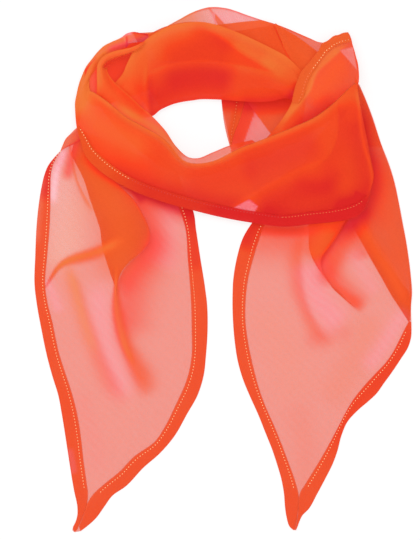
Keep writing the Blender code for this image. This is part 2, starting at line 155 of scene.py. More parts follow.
class Nodes:
    """The node tree of one material."""

    def __init__(self, name):
        self.material = bpy.data.materials.new(name)
        self.material.use_nodes = True
        self.tree = self.material.node_tree
        self.shader = self.tree.nodes["Principled BSDF"]

    def plug(self, place, term):
        if isinstance(term, Value):
            self.tree.links.new(term.socket, place)
        else:
            place.default_value = term

    def add(self, kind, output=0, settings=None, **sockets):
        node = self.tree.nodes.new(kind)
        for key, setting in (settings or {}).items():
            setattr(node, key, setting)
        for key, term in sockets.items():
            self.plug(node.inputs[key.replace("_", " ")], term)
        return Value(self, node.outputs[output])

    def attribute(self, name):
        return self.add("ShaderNodeAttribute", "Fac", {"attribute_name": name})

    def noise(self, place, scale, detail):
        return self.add("ShaderNodeTexNoise", Vector=place, Scale=scale, Detail=detail)

    def blend(self, share, first, second):
        node = self.tree.nodes.new("ShaderNodeMix")
        node.data_type = "RGBA"
        self.plug(node.inputs["Factor"], share)
        for place, colour in ((node.inputs[6], first), (node.inputs[7], second)):
            self.plug(place, colour if isinstance(colour, Value) else (*colour, 1))
        return Value(self, node.outputs[2])


def chiffon(name, cover, grain, red):
    """Sheer cloth: cover is how much one layer hides, grain how strongly its threads show, red how
    red it is where many layers lie together."""
    n = Nodes(name)
    uv = n.add("ShaderNodeTexCoord", "UV")
    place = n.add("ShaderNodeTexCoord", "Object")
    split = n.tree.nodes.new("ShaderNodeSeparateXYZ")
    n.plug(split.inputs[0], uv)
    along, across = Value(n, split.outputs[1]), Value(n, split.outputs[0])
    weave = 11000.0  # radians in each metre, which puts a thread about every 0.3 mm
    threads = (across * weave).sine() * (along * weave).sine()
    crepe = n.noise(place, 700.0, 2.0)
    clouds = n.noise(place, 28.0, 1.0)
    moire = n.add(
        "ShaderNodeTexWave",
        "Fac",
        {"wave_type": "BANDS", "bands_direction": "DIAGONAL"},
        Vector=place,
        Scale=70.0,
        Distortion=7.0,
        Detail=1.0,
        Detail_Scale=0.25,
    )
    layers = n.attribute("layers")
    # painted light and shade from the attribute, mottled at random by the clouds and the crepe
    painted_light = n.attribute("painted_light") + (clouds - 0.5) * 0.16 + (crepe - 0.5) * 0.24
    rose = (n.attribute("rose") + (clouds - 0.5) * 0.06).held()

    one_layer = (0.508, 0.0486, 0.008)
    many_layers = (red, 0.0315, 0.0048)
    lit = (0.527, 0.1035, 0.018)
    shaded = (0.441, 0.008, 0.008)
    rosy = (0.603, 0.054, 0.108)
    several = (layers - 0.9) * 0.6
    colour = n.blend(several.held(), one_layer, many_layers)
    # painted light blends the colour towards lit, painted shade towards shaded
    colour = n.blend(painted_light.held(), colour, lit)
    colour = n.blend((-painted_light).held(), colour, shaded)
    colour = n.blend(rose, colour, rosy)
    n.plug(n.shader.inputs["Base Color"], colour)
    # a painted glow: emission in the cloth's own colour, painted light and shade included
    n.plug(n.shader.inputs["Emission Color"], colour)
    n.shader.inputs["Emission Strength"].default_value = 0.5

    woven = threads * grain
    crinkled = (crepe - 0.5) * 0.14
    rings = (moire - 0.5) * (0.015 + rose * 0.04)
    covered = cover * (1.0 + woven + crinkled + rings)
    alpha = 1.0 - (1.0 - covered) ** layers
    n.plug(n.shader.inputs["Alpha"], alpha.held(0.02, 0.995))

    bump = n.tree.nodes.new("ShaderNodeBump")
    bump.inputs["Strength"].default_value = 0.35
    bump.inputs["Distance"].default_value = 0.0001
    n.plug(bump.inputs["Height"], threads + crepe * 2.0)
    n.tree.links.new(bump.outputs[0], n.shader.inputs["Normal"])
    n.shader.inputs["Roughness"].default_value = 0.8
    n.shader.inputs["Specular IOR Level"].default_value = 0.12
    n.shader.inputs["Sheen Weight"].default_value = 0.12
    n.shader.inputs["Sheen Roughness"].default_value = 0.45
    n.shader.inputs["Sheen Tint"].default_value = (1.0, 0.55, 0.3, 1)
    return n.material


def thread_material(name, light, lighter):
    """Shiny polyester sewing thread, dyed to match, in two shades of one colour."""
    n = Nodes(name)
    place = n.add("ShaderNodeTexCoord", "Object")
    strands = n.noise(place, 2600.0, 1.0)
    n.plug(n.shader.inputs["Base Color"], n.blend(strands, light, lighter))
    n.shader.inputs["Roughness"].default_value = 0.45
    n.shader.inputs["Sheen Weight"].default_value = 0.2
    return n.material


cloth = chiffon("orange_chiffon", 0.70, 0.07, 0.576)
hem_cloth = chiffon("orange_chiffon_hem", 0.70, 0.09, 0.522)
# the thread in three copies: lit, in painted half shade and in painted deep shade
thread = thread_material("sewing_thread", (1.0, 0.52, 0.22), (1.0, 0.66, 0.34))
shaded_thread = thread_material("sewing_thread_shaded", (0.74, 0.14, 0.04), (0.8, 0.2, 0.05))
deep_shade_thread = thread_material("sewing_thread_deep_shade", (0.5, 0.02, 0.02), (0.6, 0.03, 0.02))


# ---------------------------------------------------------------- hemmed layer in the ring's opening
# The lowest run of the strip, which shows at the right of the opening: a flat stretch of single
# cloth with a turned and topstitched hem on its left, and a second layer over its right half.

MM = 0.001  # one millimetre in metres
PILE_X, PILE_Y = 200, 270  # how far the pile reaches from the middle
pile = np.zeros((2 * PILE_X + 1, 2 * PILE_Y + 1))  # height of the cloth over each square millimetre


def cells(points):
    """Which cell of the pile each point is over."""
    i = np.clip(np.rint(points[..., 0]).astype(int) + PILE_X, 0, 2 * PILE_X)
    j = np.clip(np.rint(points[..., 1]).astype(int) + PILE_Y, 0, 2 * PILE_Y)
    return i, j


def ease(t):
    """A soft step from 0 to 1."""
    t = np.clip(t, 0, 1)
    return t * t * (3 - 2 * t)


def curve(points, count):
    """An even run of `count` points on a smooth curve through the given ones."""
    points = np.array(points, float)
    steps = np.linalg.norm(np.diff(points[:, :2], axis=0), axis=1)
    along = np.concatenate([[0], np.cumsum(steps)])
    return spline(along, points, np.linspace(0, along[-1], count))


def spline(along, values, at):
    """Smooth values at the distances `at`, through those given at the distances `along`."""
    slope = np.gradient(values, along, axis=0)
    k = np.clip(np.searchsorted(along, at, "right") - 1, 0, len(along) - 2)
    span = (along[k + 1] - along[k])[:, None]
    t = (at - along[k])[:, None] / span
    out = values[k] * (1 + 2 * t) * (1 - t) ** 2
    out += slope[k] * span * t * (1 - t) ** 2
    out += values[k + 1] * t**2 * (3 - 2 * t)
    out += slope[k + 1] * span * t**2 * (t - 1)
    return out


def sections(table, count):
    """An even run of `count` rows through a table of sections, which start with two edge points."""
    rows = np.array(table, float)
    steps = np.linalg.norm(np.diff(rows[:, 0:2], axis=0), axis=1)
    steps += np.linalg.norm(np.diff(rows[:, 2:4], axis=0), axis=1)
    along = np.concatenate([[0], np.cumsum(steps)])
    return spline(along, rows, np.linspace(0, along[-1], count))


def band(table, count, across, span=(0, 1), share=(0, 1), lift=1.0):
    """A stretch between an outer and an inner edge, arched over its crest.

    Each row of its table is a section: x and y of the outer edge, x and y of the inner edge, the
    heights of the outer edge, the crest and the inner edge, and how far across the crest is.
    Only the part within `span` along and `share` across is made, at `lift` times its height."""
    rows = sections(table, 400)
    picked = np.linspace(span[0], span[1], count) * (len(rows) - 1)
    rows = rows[np.rint(picked).astype(int)]
    v = np.linspace(share[0], share[1], across)
    outer, inner = rows[:, None, 0:2], rows[:, None, 2:4]
    flat = outer + v[None, :, None] * (inner - outer)
    outer_z, crest_z, inner_z, crest_at = (rows[:, c, None] for c in (4, 5, 6, 7))
    near = outer_z + (crest_z - outer_z) * ease(v / crest_at)
    far = inner_z + (crest_z - inner_z) * ease((1 - v) / (1 - crest_at))
    z = np.where(v < crest_at, near, far) * lift
    return np.concatenate([flat, z[:, :, None]], axis=2)


def widest(reach):
    """Each cell of the pile takes the greatest height within `reach` cells."""
    padded = np.pad(pile, reach, mode="edge")
    out = pile.copy()
    for di in range(-reach, reach + 1):
        for dj in range(-reach, reach + 1):
            rows = slice(reach + di, reach + di + pile.shape[0])
            cols = slice(reach + dj, reach + dj + pile.shape[1])
            np.maximum(out, padded[rows, cols], out=out)
    return out


def softened(lift, times):
    """The heights, each drawn towards its four neighbours, so many times over."""
    for _ in range(times):
        padded = np.pad(lift, 1, mode="edge")
        ring = padded[:-2, 1:-1] + padded[2:, 1:-1] + padded[1:-1, :-2] + padded[1:-1, 2:]
        lift = 0.4 * lift + 0.15 * ring
    return lift


def lay(grid):
    """Raise the grid clear of all that lies below it, softly, and add it to the pile."""
    gap = 0.35
    i, j = cells(grid)
    short = np.maximum(widest(2)[i, j] + gap - grid[..., 2], 0)
    lift = np.maximum(softened(short, 6), short)
    laid = grid.copy()
    laid[..., 2] += softened(lift, 1)
    pile_up(laid)
    return laid


def pile_up(grid):
    """Add a grid to the pile, at three places along and across each of its faces."""
    shares = np.linspace(0, 1, 4)[:-1]
    for a in shares:
        for b in shares:
            near = grid[:-1, :-1] * (1 - a) + grid[1:, :-1] * a
            far = grid[:-1, 1:] * (1 - a) + grid[1:, 1:] * a
            points = near * (1 - b) + far * b
            np.maximum.at(pile, cells(points), points[..., 2])


def nearness(flat, line, left, right):
    """1 on the line, fading on its left and right side and towards both its ends.

    The points of a line may carry a third number, which scales both widths there."""
    points = curve(line, 30)
    scale = points[:-1, 2] if points.shape[1] > 2 else np.ones(len(points) - 1)
    points = points[:, :2]
    start, step = points[:-1], np.diff(points, axis=0)
    length = np.maximum((step**2).sum(axis=1), 1e-9)
    away = flat[:, None] - start[None]
    t = np.clip((away * step).sum(axis=2) / length, 0, 1)
    gap = away - t[..., None] * step
    distance = np.sqrt((gap**2).sum(axis=2))
    nearest = distance.argmin(axis=1)
    pick = np.arange(len(flat))
    side = step[nearest, 0] * away[pick, nearest, 1] - step[nearest, 1] * away[pick, nearest, 0]
    width = np.where(side > 0, left, right) * scale[nearest]
    along = (nearest + t[pick, nearest]) / (len(points) - 1)
    faded = ease(np.minimum(along, 1 - along) / 0.2)
    return np.exp(-((distance[pick, nearest] / width) ** 2)) * faded


def creased(grid, creases):
    """Soft troughs and ridges: height, how bunched and rosy the cloth looks there, and painted light.

    Each crease says how wide it is on its left and on its right, how far it rises, how many layers,
    how much painted light and how much rose it adds, and the line that it follows. Painted light
    below 0 is painted shade, and where shade is painted, layers are often added to deepen it."""
    flat = grid[..., :2].reshape(-1, 2)
    out = np.zeros((4, len(flat)))
    for left, right, rise, layers, painted_light, rose, line in creases:
        out += nearness(flat, line, left, right) * np.array([rise, layers, painted_light, rose])[:, None]
    rise, layers, painted_light, rose = out.reshape(4, *grid.shape[:2])
    formed = grid.copy()
    formed[..., 2] = np.maximum(formed[..., 2] + rise, 0.3)
    return formed, layers, painted_light, rose


def within(grid, corners, soft=0.8):
    """1 inside the outline, which has no hollow sides, and 0 outside it."""
    corners = np.array(corners)
    after = np.roll(corners, -1, axis=0)
    sides = after - corners
    next_sides = np.roll(sides, -1, axis=0)
    turn = (sides[:, 0] * next_sides[:, 1] - sides[:, 1] * next_sides[:, 0]).sum()
    depth = np.full(grid.shape[:2], np.inf)
    for a, b in zip(corners, after):
        step = (b - a) / np.linalg.norm(b - a)
        off = step[0] * (grid[..., 1] - a[1]) - step[1] * (grid[..., 0] - a[0])
        depth = np.minimum(depth, off * np.sign(turn))
    return ease(depth / soft + 0.5)


def sheet_of(name, grid, layers=1.0, painted_light=0.0, rose=0.0, stuff=cloth):
    """A piece of cloth on a grid of points, with how bunched and rosy it looks, and its painted light and
    shade.
    """
    rows, cols = grid.shape[:2]
    corners = np.arange(rows * cols).reshape(rows, cols)
    faces = np.stack([corners[:-1, :-1], corners[:-1, 1:], corners[1:, 1:], corners[1:, :-1]], axis=2)
    mesh = bpy.data.meshes.new(name)
    mesh.from_pydata((grid.reshape(-1, 3) * MM).tolist(), [], faces.reshape(-1, 4).tolist())
    for key, value in (("layers", layers), ("painted_light", painted_light), ("rose", rose)):
        spread = np.broadcast_to(value, (rows, cols)).astype(float)
        mesh.attributes.new(key, "FLOAT", "POINT").data.foreach_set("value", spread.ravel())
    u = np.linalg.norm(np.diff(grid, axis=1, prepend=grid[:, :1]), axis=2).cumsum(axis=1)
    v = np.linalg.norm(np.diff(grid, axis=0, prepend=grid[:1]), axis=2).cumsum(axis=0)
    uv = (np.stack([u, v], axis=2) * MM).reshape(-1, 2)
    loops = np.zeros(len(mesh.loops), int)
    mesh.loops.foreach_get("vertex_index", loops)
    mesh.uv_layers.new(name="UVMap").data.foreach_set("uv", uv[loops].ravel())
    mesh.polygons.foreach_set("use_smooth", [True] * len(mesh.polygons))
    mesh.materials.append(stuff)
    piece = bpy.data.objects.new(name, mesh)
    scene.collection.objects.link(piece)
    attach(piece, "root")
    return piece


def hem_of(name, pairs, count, stitched=0.76, plies=1.2, painted_light=0.15, shades=()):
    """The turned strip between its folded outer edge and its sewn inner edge, and its stitch line."""
    rows = sections(pairs, count)
    gap = 0.3
    # how far across each column of points is, how high it stands, and how thick it looks
    v = np.array([0, 0.015, 0.05, 0.12, 0.3, 0.5, 0.66, stitched, 0.86, 0.96, 1.0])
    rise = np.array([-0.25, 0.25, 0.45, 0.5, 0.5, 0.5, 0.5, 0.44, 0.45, 0.3, 0.0])
    thinned = np.array([1, 1, 1, 1, 1, 1, 1, 1, 1, 0.8, 0.2])
    seam = 7
    flat = rows[:, None, 0:2] + v[None, :, None] * (rows[:, None, 2:4] - rows[:, None, 0:2])
    grid = np.concatenate([flat, np.zeros_like(flat[..., :1])], axis=2)
    i, j = cells(grid)
    under = softened(widest(1)[i, j], 2) + gap
    grid[..., 2] = under + rise
    pile_up(grid)
    # the shades add layers, rose, and painted light and painted shade
    _, bunched, more_painted_light, rosier = creased(grid, shades)
    piece = sheet_of(name, grid, (plies + bunched) * thinned, painted_light + more_painted_light, rosier, hem_cloth)
    return piece, grid[:, seam]


def stitches(name, lines, strand=thread):
    """Topstitching along the given lines: one short thread for each stitch, lying in its dip."""
    pitch = 2.8
    above = np.array([0, 0, 0.1 * MM])
    verts, edges = [], []
    for line in lines:
        first = len(verts)
        verts += [tuple(point * MM + above) for point in line]
        edges += [(k, k + 1) for k in range(first, len(verts) - 1)]
    mesh = bpy.data.meshes.new(name + "_lines")
    mesh.from_pydata(verts, edges, [])
    runs = bpy.data.objects.new(name + "_lines", mesh)
    scene.collection.objects.link(runs)

    tree = bpy.data.node_groups.new(name, "GeometryNodeTree")
    tree.interface.new_socket("Geometry", in_out="INPUT", socket_type="NodeSocketGeometry")
    pitch_socket = tree.interface.new_socket("Stitch length", in_out="INPUT", socket_type="NodeSocketFloat")
    slant_socket = tree.interface.new_socket("Slant", in_out="INPUT", socket_type="NodeSocketFloat")
    tree.interface.new_socket("Geometry", in_out="OUTPUT", socket_type="NodeSocketGeometry")
    nodes, link = tree.nodes, tree.links.new
    entry, leave = nodes.new("NodeGroupInput"), nodes.new("NodeGroupOutput")
    to_curve = nodes.new("GeometryNodeMeshToCurve")
    resample = nodes.new("GeometryNodeResampleCurve")
    resample.mode = "LENGTH"
    one = nodes.new("GeometryNodeMeshUVSphere")
    one.inputs["Segments"].default_value = 6
    one.inputs["Rings"].default_value = 4
    one.inputs["Radius"].default_value = MM
    flatten = nodes.new("GeometryNodeTransform")
    flatten.inputs["Scale"].default_value = (0.52, 0.4, 0.2)
    tangent = nodes.new("GeometryNodeInputTangent")
    turn = nodes.new("FunctionNodeAlignRotationToVector")
    turn.axis = "X"
    skew = nodes.new("FunctionNodeAxisAngleToRotation")
    skew.inputs["Axis"].default_value = (0, 0, 1)
    slant = nodes.new("FunctionNodeRotateRotation")
    slant.rotation_space = "LOCAL"
    place = nodes.new("GeometryNodeInstanceOnPoints")
    real = nodes.new("GeometryNodeRealizeInstances")
    paint_it = nodes.new("GeometryNodeSetMaterial")
    paint_it.inputs["Material"].default_value = strand
    link(entry.outputs["Geometry"], to_curve.inputs["Mesh"])
    link(to_curve.outputs["Curve"], resample.inputs["Curve"])
    link(entry.outputs["Stitch length"], resample.inputs["Length"])
    link(resample.outputs["Curve"], place.inputs["Points"])
    link(one.outputs["Mesh"], flatten.inputs["Geometry"])
    link(flatten.outputs["Geometry"], place.inputs["Instance"])
    link(tangent.outputs["Tangent"], turn.inputs["Vector"])
    link(turn.outputs["Rotation"], slant.inputs["Rotation"])
    link(entry.outputs["Slant"], skew.inputs["Angle"])
    link(skew.outputs["Rotation"], slant.inputs["Rotate By"])
    link(slant.outputs["Rotation"], place.inputs["Rotation"])
    link(place.outputs["Instances"], real.inputs["Geometry"])
    link(real.outputs["Geometry"], paint_it.inputs["Geometry"])
    link(paint_it.outputs["Geometry"], leave.inputs["Geometry"])

    modifier = runs.modifiers.new("stitches", "NODES")
    modifier.node_group = tree
    modifier[pitch_socket.identifier] = pitch * MM
    modifier[slant_socket.identifier] = 0.2
    seen = runs.evaluated_get(bpy.context.evaluated_depsgraph_get())
    sewn = bpy.data.meshes.new_from_object(seen)
    sewn.name = name
    piece = bpy.data.objects.new(name, sewn)
    scene.collection.objects.link(piece)
    bpy.data.objects.remove(runs)
    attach(piece, "root")
    return piece


UNDER_LAYER = (
    (-2.4, 156.5, 7.6, 106.1, 0.5, 0.6, 0.5, 0.5),
    (15.1, 160.1, 19.6, 104.3, 0.5, 0.6, 0.5, 0.5),
    (34.9, 161, 34.9, 104.3, 0.5, 0.6, 0.5, 0.5),
    (54.7, 158.3, 52.9, 109.7, 0.5, 0.6, 0.5, 0.5),
    (74.5, 154.7, 69.1, 115.1, 0.5, 0.6, 0.5, 0.5),
)
UNDER_SECOND = (
    (13.3, 162.4, 53.8, 107.5, 1.0, 1.2, 1.0, 0.5),
    (34.9, 163.7, 61.9, 116.9, 1.0, 1.2, 1.0, 0.5),
    (60.1, 160.1, 74.5, 127.7, 1.0, 1.2, 1.0, 0.5),
)
UNDER_CREASES = (
    (9, 4, 0.8, 0.61, -0.3, 0.1, ((25.9, 154.7), (17.8, 138.5), (11.5, 124.1), (7.9, 111.5))),
    (30, 7, 0.0, 1.63, -0.9, 0.0, (
        (-24.5, 151.1), (0.7, 151.1), (19.6, 149.3), (34.9, 148.4), (49.3, 149.3), (74.5, 156.5),
    )),
)
under_grid, *under_look = creased(band(UNDER_LAYER, 50, 50), UNDER_CREASES)
UNDER_BUNCHED = ((11.5, 161.9), (25, 149.3), (28.2, 142.1), (16, 108.8), (2.5, 113.3))
gathered = 1.4 * within(under_grid, UNDER_BUNCHED, 1.2)
under_layer = sheet_of(
    "under_layer_cloth",
    lay(under_grid),
    1.3 + gathered + under_look[0],
    under_look[1],
    0.25 - 0.25 * gathered + under_look[2],
)
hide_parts("under_layer")
fold_grid, *fold_look = creased(band(UNDER_SECOND, 40, 40), UNDER_CREASES)
under_fold = sheet_of(
    "under_layer_fold", lay(fold_grid), 1.8 + fold_look[0], 0.25 + fold_look[1], fold_look[2]
)
UNDER_HEM = (
    (-2, 156.5, 20.5, 156.5),
    (-1.1, 147.5, 18.3, 146.6),
    (0.4, 134.9, 14.7, 134),
    (2.9, 122.3, 9.7, 121.4),
    (6.1, 110.6, 7, 109.7),
)
under_hem, under_line = hem_of(
    "under_layer_hem", UNDER_HEM, 40, stitched=0.66, plies=1.4, shades=UNDER_CREASES[1:]
)
# its stitches use the thread in painted half shade
under_stitches = stitches("under_layer_stitches", [under_line], shaded_thread)


# ---------------------------------------------------------------- outermost run behind the ring
# A loose single layer that shows above the ring, with a narrow wedge pleat at its middle, and a
# second and third layer that come out from under the wound part.

OUTER_BACK = (
    (-81.2, 213.2, -75.8, 201.5, 0.8, 1.5, 2, 0.5),
    (-69.5, 213.7, -65.9, 199.7, 0.8, 2, 3, 0.5),
    (-58.7, 215, -56, 196.1, 0.6, 3, 4, 0.6),
    (-47.9, 220.9, -46.1, 194.3, 0.6, 3, 4, 0.6),
    (-38.9, 225.8, -37.1, 192.5, 0.6, 3, 4, 0.6),
    (-29.9, 230.8, -29, 192.5, 0.6, 3.5, 4, 0.6),
    (-20.9, 234.4, -20.9, 191.6, 0.6, 4, 4, 0.6),
    (-14.6, 236.1, -14.6, 190.7, 0.6, 4, 4, 0.6),
    (-8.3, 236.6, -8.3, 189.8, 0.6, 4, 4, 0.6),
    (-2, 236.2, -2, 188.9, 0.6, 4, 4, 0.6),
    (4.3, 235.2, 2.5, 187.1, 0.6, 4, 4, 0.6),
    (11.5, 233, 7.9, 185.3, 0.6, 4, 4, 0.6),
    (19.6, 230, 13.3, 183.5, 0.6, 4, 4, 0.6),
    (34.9, 224.9, 24.1, 179.9, 0.6, 4, 4, 0.6),
    (45.7, 221.7, 33.1, 176.3, 0.6, 4, 4, 0.6),
    (55.6, 218.1, 42.1, 172.7, 0.6, 4, 4, 0.6),
    (69.1, 212.3, 54.7, 167.3, 0.6, 4, 4, 0.6),
    (78.1, 208.4, 60.1, 163.7, 0.6, 4, 4, 0.6),
    (85.3, 205.3, 64.6, 160.1, 0.6, 3, 3, 0.6),
    (96.1, 204.2, 70.9, 156.5, 0.6, 3, 3, 0.6),
)
OUTER_SECOND = (
    (-67.7, 211.4, -60.5, 188.9, 3, 4, 4, 0.4),
    (-52.4, 218.6, -42.5, 187.1, 3, 4, 4, 0.4),
    (-34.4, 222.7, -28.1, 187.1, 3, 4, 4, 0.4),
    (-20.9, 222.7, -17.3, 187.1, 3, 4, 4, 0.4),
    (-10.1, 220.4, -8.3, 187.1, 3, 4, 4, 0.4),
    (2.5, 221.3, 2.5, 185.3, 3, 5, 4, 0.4),
    (15.1, 222.8, 13.3, 183.5, 3, 5, 5, 0.4),
    (25.9, 223.7, 24.1, 179.9, 4, 7, 7, 0.4),
    (34.9, 224, 34.9, 176.3, 4, 9, 9, 0.4),
    (43.9, 220.9, 43.9, 172.7, 4, 10, 10, 0.4),
    (54.7, 216.4, 52.9, 167.3, 4, 11, 10, 0.4),
    (66.4, 209.6, 60.1, 161.9, 4, 11, 10, 0.4),
    (78.1, 201.1, 65.5, 158.3, 4, 11, 10, 0.4),
    (85.3, 195.2, 70.9, 154.7, 4, 10, 9, 0.4),
)
OUTER_THIRD = (
    (-1.1, 213.7, -8.3, 188.9, 5, 6, 6, 0.4),
    (15.1, 215, 11.5, 185.3, 5, 6, 6, 0.4),
    (31.3, 217.4, 29.5, 179.9, 5, 7, 6, 0.4),
    (44.8, 219.2, 60.1, 183.5, 5, 7, 6, 0.4),
)
OUTER_FOLD = (
    (47.1, 221.3, 45.7, 220.4, 6, 6, 6, 0.4),
    (53.8, 216.8, 51.1, 206.9, 6, 7, 6, 0.4),
    (65.5, 209.6, 54.7, 197.9, 6, 7, 6, 0.4),
    (76.3, 201.5, 60.1, 188.9, 6, 7, 6, 0.4),
    (87.1, 194.3, 69.1, 176.3, 6, 7, 6, 0.4),
)
OUTER_CREASES = (
    # the two edges of the wedge pleat, and the dense line along the top edge
    (0.7, 0.7, 0.3, 0.5, 0.1, 0.0, (
        (-15.5, 242), (-12.3, 235.3), (-8.7, 228.5), (-6.9, 221.3), (-6.5, 210.5),
    )),
    (0.8, 0.8, 0.2, 0.5, 0.2, 0.0, (
        (-16.4, 241.1), (-11.9, 234.8), (-6, 228.5), (-0.2, 222.2), (7, 213.2),
    )),
    (0.9, 0.9, 0.2, 1.09, 0.2, 0.0, (
        (-92.9, 210.5), (-58.7, 215), (-38.9, 225.8), (-20.9, 234.1), (-8.3, 236.3), (4.3, 234.9),
        (19.6, 229.8), (34.9, 224.6), (55.6, 217.8), (78.1, 208.2), (109.6, 201.5),
    )),
    # warm light at the left, and a rosy place in the middle
    (9, 14, 0.0, 0.17, 0.45, 0.0, (
        (-74.9, 210.5), (-56.9, 215.9), (-44.3, 223.1), (-31.7, 230.3), (-19.1, 235.7),
    )),
    (9, 9, 0.0, -0.07, 0.0, 0.45, (
        (-15.5, 223.1), (-2.9, 226.7), (11.5, 226.7), (24.1, 222.2), (38.5, 217.7),
    )),
)
OUTER_WEDGE = ((-12.3, 236.2), (-6, 229), (6.1, 215.9), (-6.5, 210.5), (-6.9, 221.3), (-8.7, 228.5))
SECOND_CREASES = (
    (1.2, 12, 1.5, 0.68, -0.3, 0.0, (
        (40.3, 223.1), (48.4, 217.7), (52, 206), (56.5, 196.1), (65.5, 183.5),
    )),
    (1.0, 1.2, 0.2, 0.41, 0.2, 0.0, (
        (-74.9, 206.9), (-52.4, 218.6), (-34.4, 222.7), (-10.1, 220.4), (15.1, 222.8), (34.9, 224),
        (54.7, 216.4), (66.4, 209.6), (78.1, 201.1), (91.6, 190.7),
    )),
)
back_grid, *back_look = creased(band(OUTER_BACK, 240, 60), OUTER_CREASES)
lit_left_half = ease((-13.7 - back_grid[..., 0]) / 26)  # the left half
near_turn = ease((back_grid[..., 0] - 38.5) / 20)  # the right end
wedge = within(back_grid, OUTER_WEDGE, 0.6)
# the left half, the wedge pleat and the right end get more layers and painted light
outer_back = sheet_of(
    "outer_back_cloth",
    lay(back_grid),
    0.9 + back_look[0] + 1.2 * wedge + 0.45 * lit_left_half + 0.7 * near_turn,
    back_look[1] + 0.45 * lit_left_half + 0.3 * wedge + 0.15 * near_turn,
    back_look[2] * (1 - wedge),
)
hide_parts("outer_back")
# the second and third layer and the fold carry painted light as well
second_grid, *second_look = creased(band(OUTER_SECOND, 100, 34), SECOND_CREASES)
outer_second = sheet_of(
    "outer_back_second_layer", lay(second_grid), 2.3 + second_look[0], 0.4 + second_look[1]
)
third_grid = creased(band(OUTER_THIRD, 50, 24), SECOND_CREASES)[0]
outer_third = sheet_of("outer_back_third_layer", lay(third_grid), 1.5, 0.15)
outer_fold = sheet_of("outer_back_fold", lay(band(OUTER_FOLD, 50, 24)), 1.6, 0.3)


# ---------------------------------------------------------------- tails
# The two pointed ends of the strip. Each runs out from under the ring, is pleated once where it
# comes out, and lies flat to its tip. The right one has its long edge folded under as a flap.


def side(points):
    """An edge as a function that gives x at each y."""
    line = curve(points, 400)
    order = np.argsort(line[:, 1])
    return lambda y: np.interp(y, line[order, 1], line[order, 0])


def meets(start, end, line):
    """How far along start-end it crosses the line, or comes nearest to one of its ends."""
    step = end - start
    reach = np.linalg.norm(step)
    away = line - start
    off = step[0] * away[:, 1] - step[1] * away[:, 0]
    at = away @ step / reach
    change = np.nonzero(off[:-1] * off[1:] <= 0)[0]
    if len(change) == 0:
        return at[0] if abs(off[0]) < abs(off[-1]) else at[-1]
    k = change[0]
    t = off[k] / (off[k] - off[k + 1] + 1e-12)
    return at[k] + t * (at[k + 1] - at[k])


def pleated(length, fold, under, high):
    """A section of a tail as (distance, height): up on to the pleat, back under it and on flat."""
    cloth_gap = 0.35
    bend = high / 4
    lip = max(min(fold - 3.0, under - 1.0), 0.25 * fold)
    foot = max(lip - 13.0, 0.35 * lip)
    flat, slope, top = np.linspace(0, foot, 41), np.linspace(foot, lip, 15), np.linspace(lip, fold, 16)
    s = np.concatenate([flat[:-1], slope[:-1], top])
    z = high * ease((s - foot) / (lip - foot))
    share = float(np.clip((fold - under) / 2.0, 0, 1))
    nose = 0.4 * share
    turn = np.radians([25, 50, 90, 130, 155])
    back = np.linspace(fold, under, 10)
    folded_s = np.concatenate([fold + nose * np.sin(turn), back, under - nose * np.sin(turn)])
    bent = bend * np.cos(turn)
    folded_z = np.concatenate([3 * bend + bent, 0 * back + 2 * bend, bend + bent])
    w = np.linspace(0, 1, len(folded_s) + 2)[1:-1]
    mid_s = fold + w * (under - fold) + share * (folded_s - fold - w * (under - fold))
    mid_z = high * (1 - ease(w)) + share * (folded_z - high * (1 - ease(w)))
    rest = under + (length - under) * np.linspace(0, 1, 90) ** 1.1
    return np.concatenate([s, mid_s, rest]), np.concatenate([z, mid_z, 0 * rest]) + cloth_gap


def tail(left, right, stations, fold, under, count):
    """A pleated panel between its two edges.

    Each station pairs the y of its left edge with the y of its right edge and the pleat's height."""
    stations = np.array(stations, float)
    at = np.linspace(0, len(stations) - 1, count)
    left_y, right_y, high = (np.interp(at, np.arange(len(stations)), stations[:, k]) for k in range(3))
    fold, under = curve(fold, 120), curve(under, 120)
    rows = []
    for a, b, h in zip(left_y, right_y, high):
        start, end = np.array([left(a), a]), np.array([right(b), b])
        length = np.linalg.norm(end - start)
        fold_at = np.clip(meets(start, end, fold), 0.1 * length, 0.9 * length)
        under_at = np.clip(meets(start, end, under), 0.08 * length, 0.92 * length)
        s, z = pleated(length, fold_at, under_at, h)
        rows.append(np.column_stack([start + (end - start) * (s / length)[:, None], z]))
    return np.array(rows)


def paired(outer, inner, pairs):
    """Sections of a hem, from pairs of heights on its outer and its inner edge."""
    return [(float(outer(a)), a, float(inner(b)), b) for a, b in pairs]


# edges of the left tail, and the two lines of its pleat: its folded edge, and where the cloth comes
# out again beneath it
LEFT_OUTER = (
    (-132.5, 134.9), (-131.6, 127.7), (-141.8, 117.8), (-146.3, 107.4), (-153.2, 99.8), (-157.8, 93.5),
    (-160.7, 86.3), (-163.5, 74.6), (-166.1, 58.4), (-167.9, 40.4), (-169.1, 13.4), (-169.7, -14.5),
    (-167.6, -31.6), (-164, -51.4), (-157.7, -81.1), (-153.2, -97.3), (-148.7, -111.7),
    (-145.1, -130.6), (-141.5, -153.1), (-137.9, -176.5), (-134.3, -198.1), (-131.1, -216.1),
    (-131.8, -224.2), (-134.7, -230.5), (-135.6, -234.4), (-132.5, -236.5),
)
LEFT_INNER = (
    (-42.5, 91.7), (-35.3, 71.9), (-29.4, 60.2), (-26.7, 52.1), (-23.6, 26.9), (-20, 7.1),
    (-16.4, -15.4), (-14.6, -29.8), (-14, -51.4), (-15.5, -76.6), (-17.7, -95.5), (-22.7, -111.7),
    (-32.6, -129.7), (-45.2, -151.3), (-56, -163.9), (-72.2, -178.3), (-87.5, -194.5), (-100.1, -203.5),
    (-107.3, -213.4), (-114.5, -223.3), (-123.5, -231.4), (-128.9, -235.4),
)
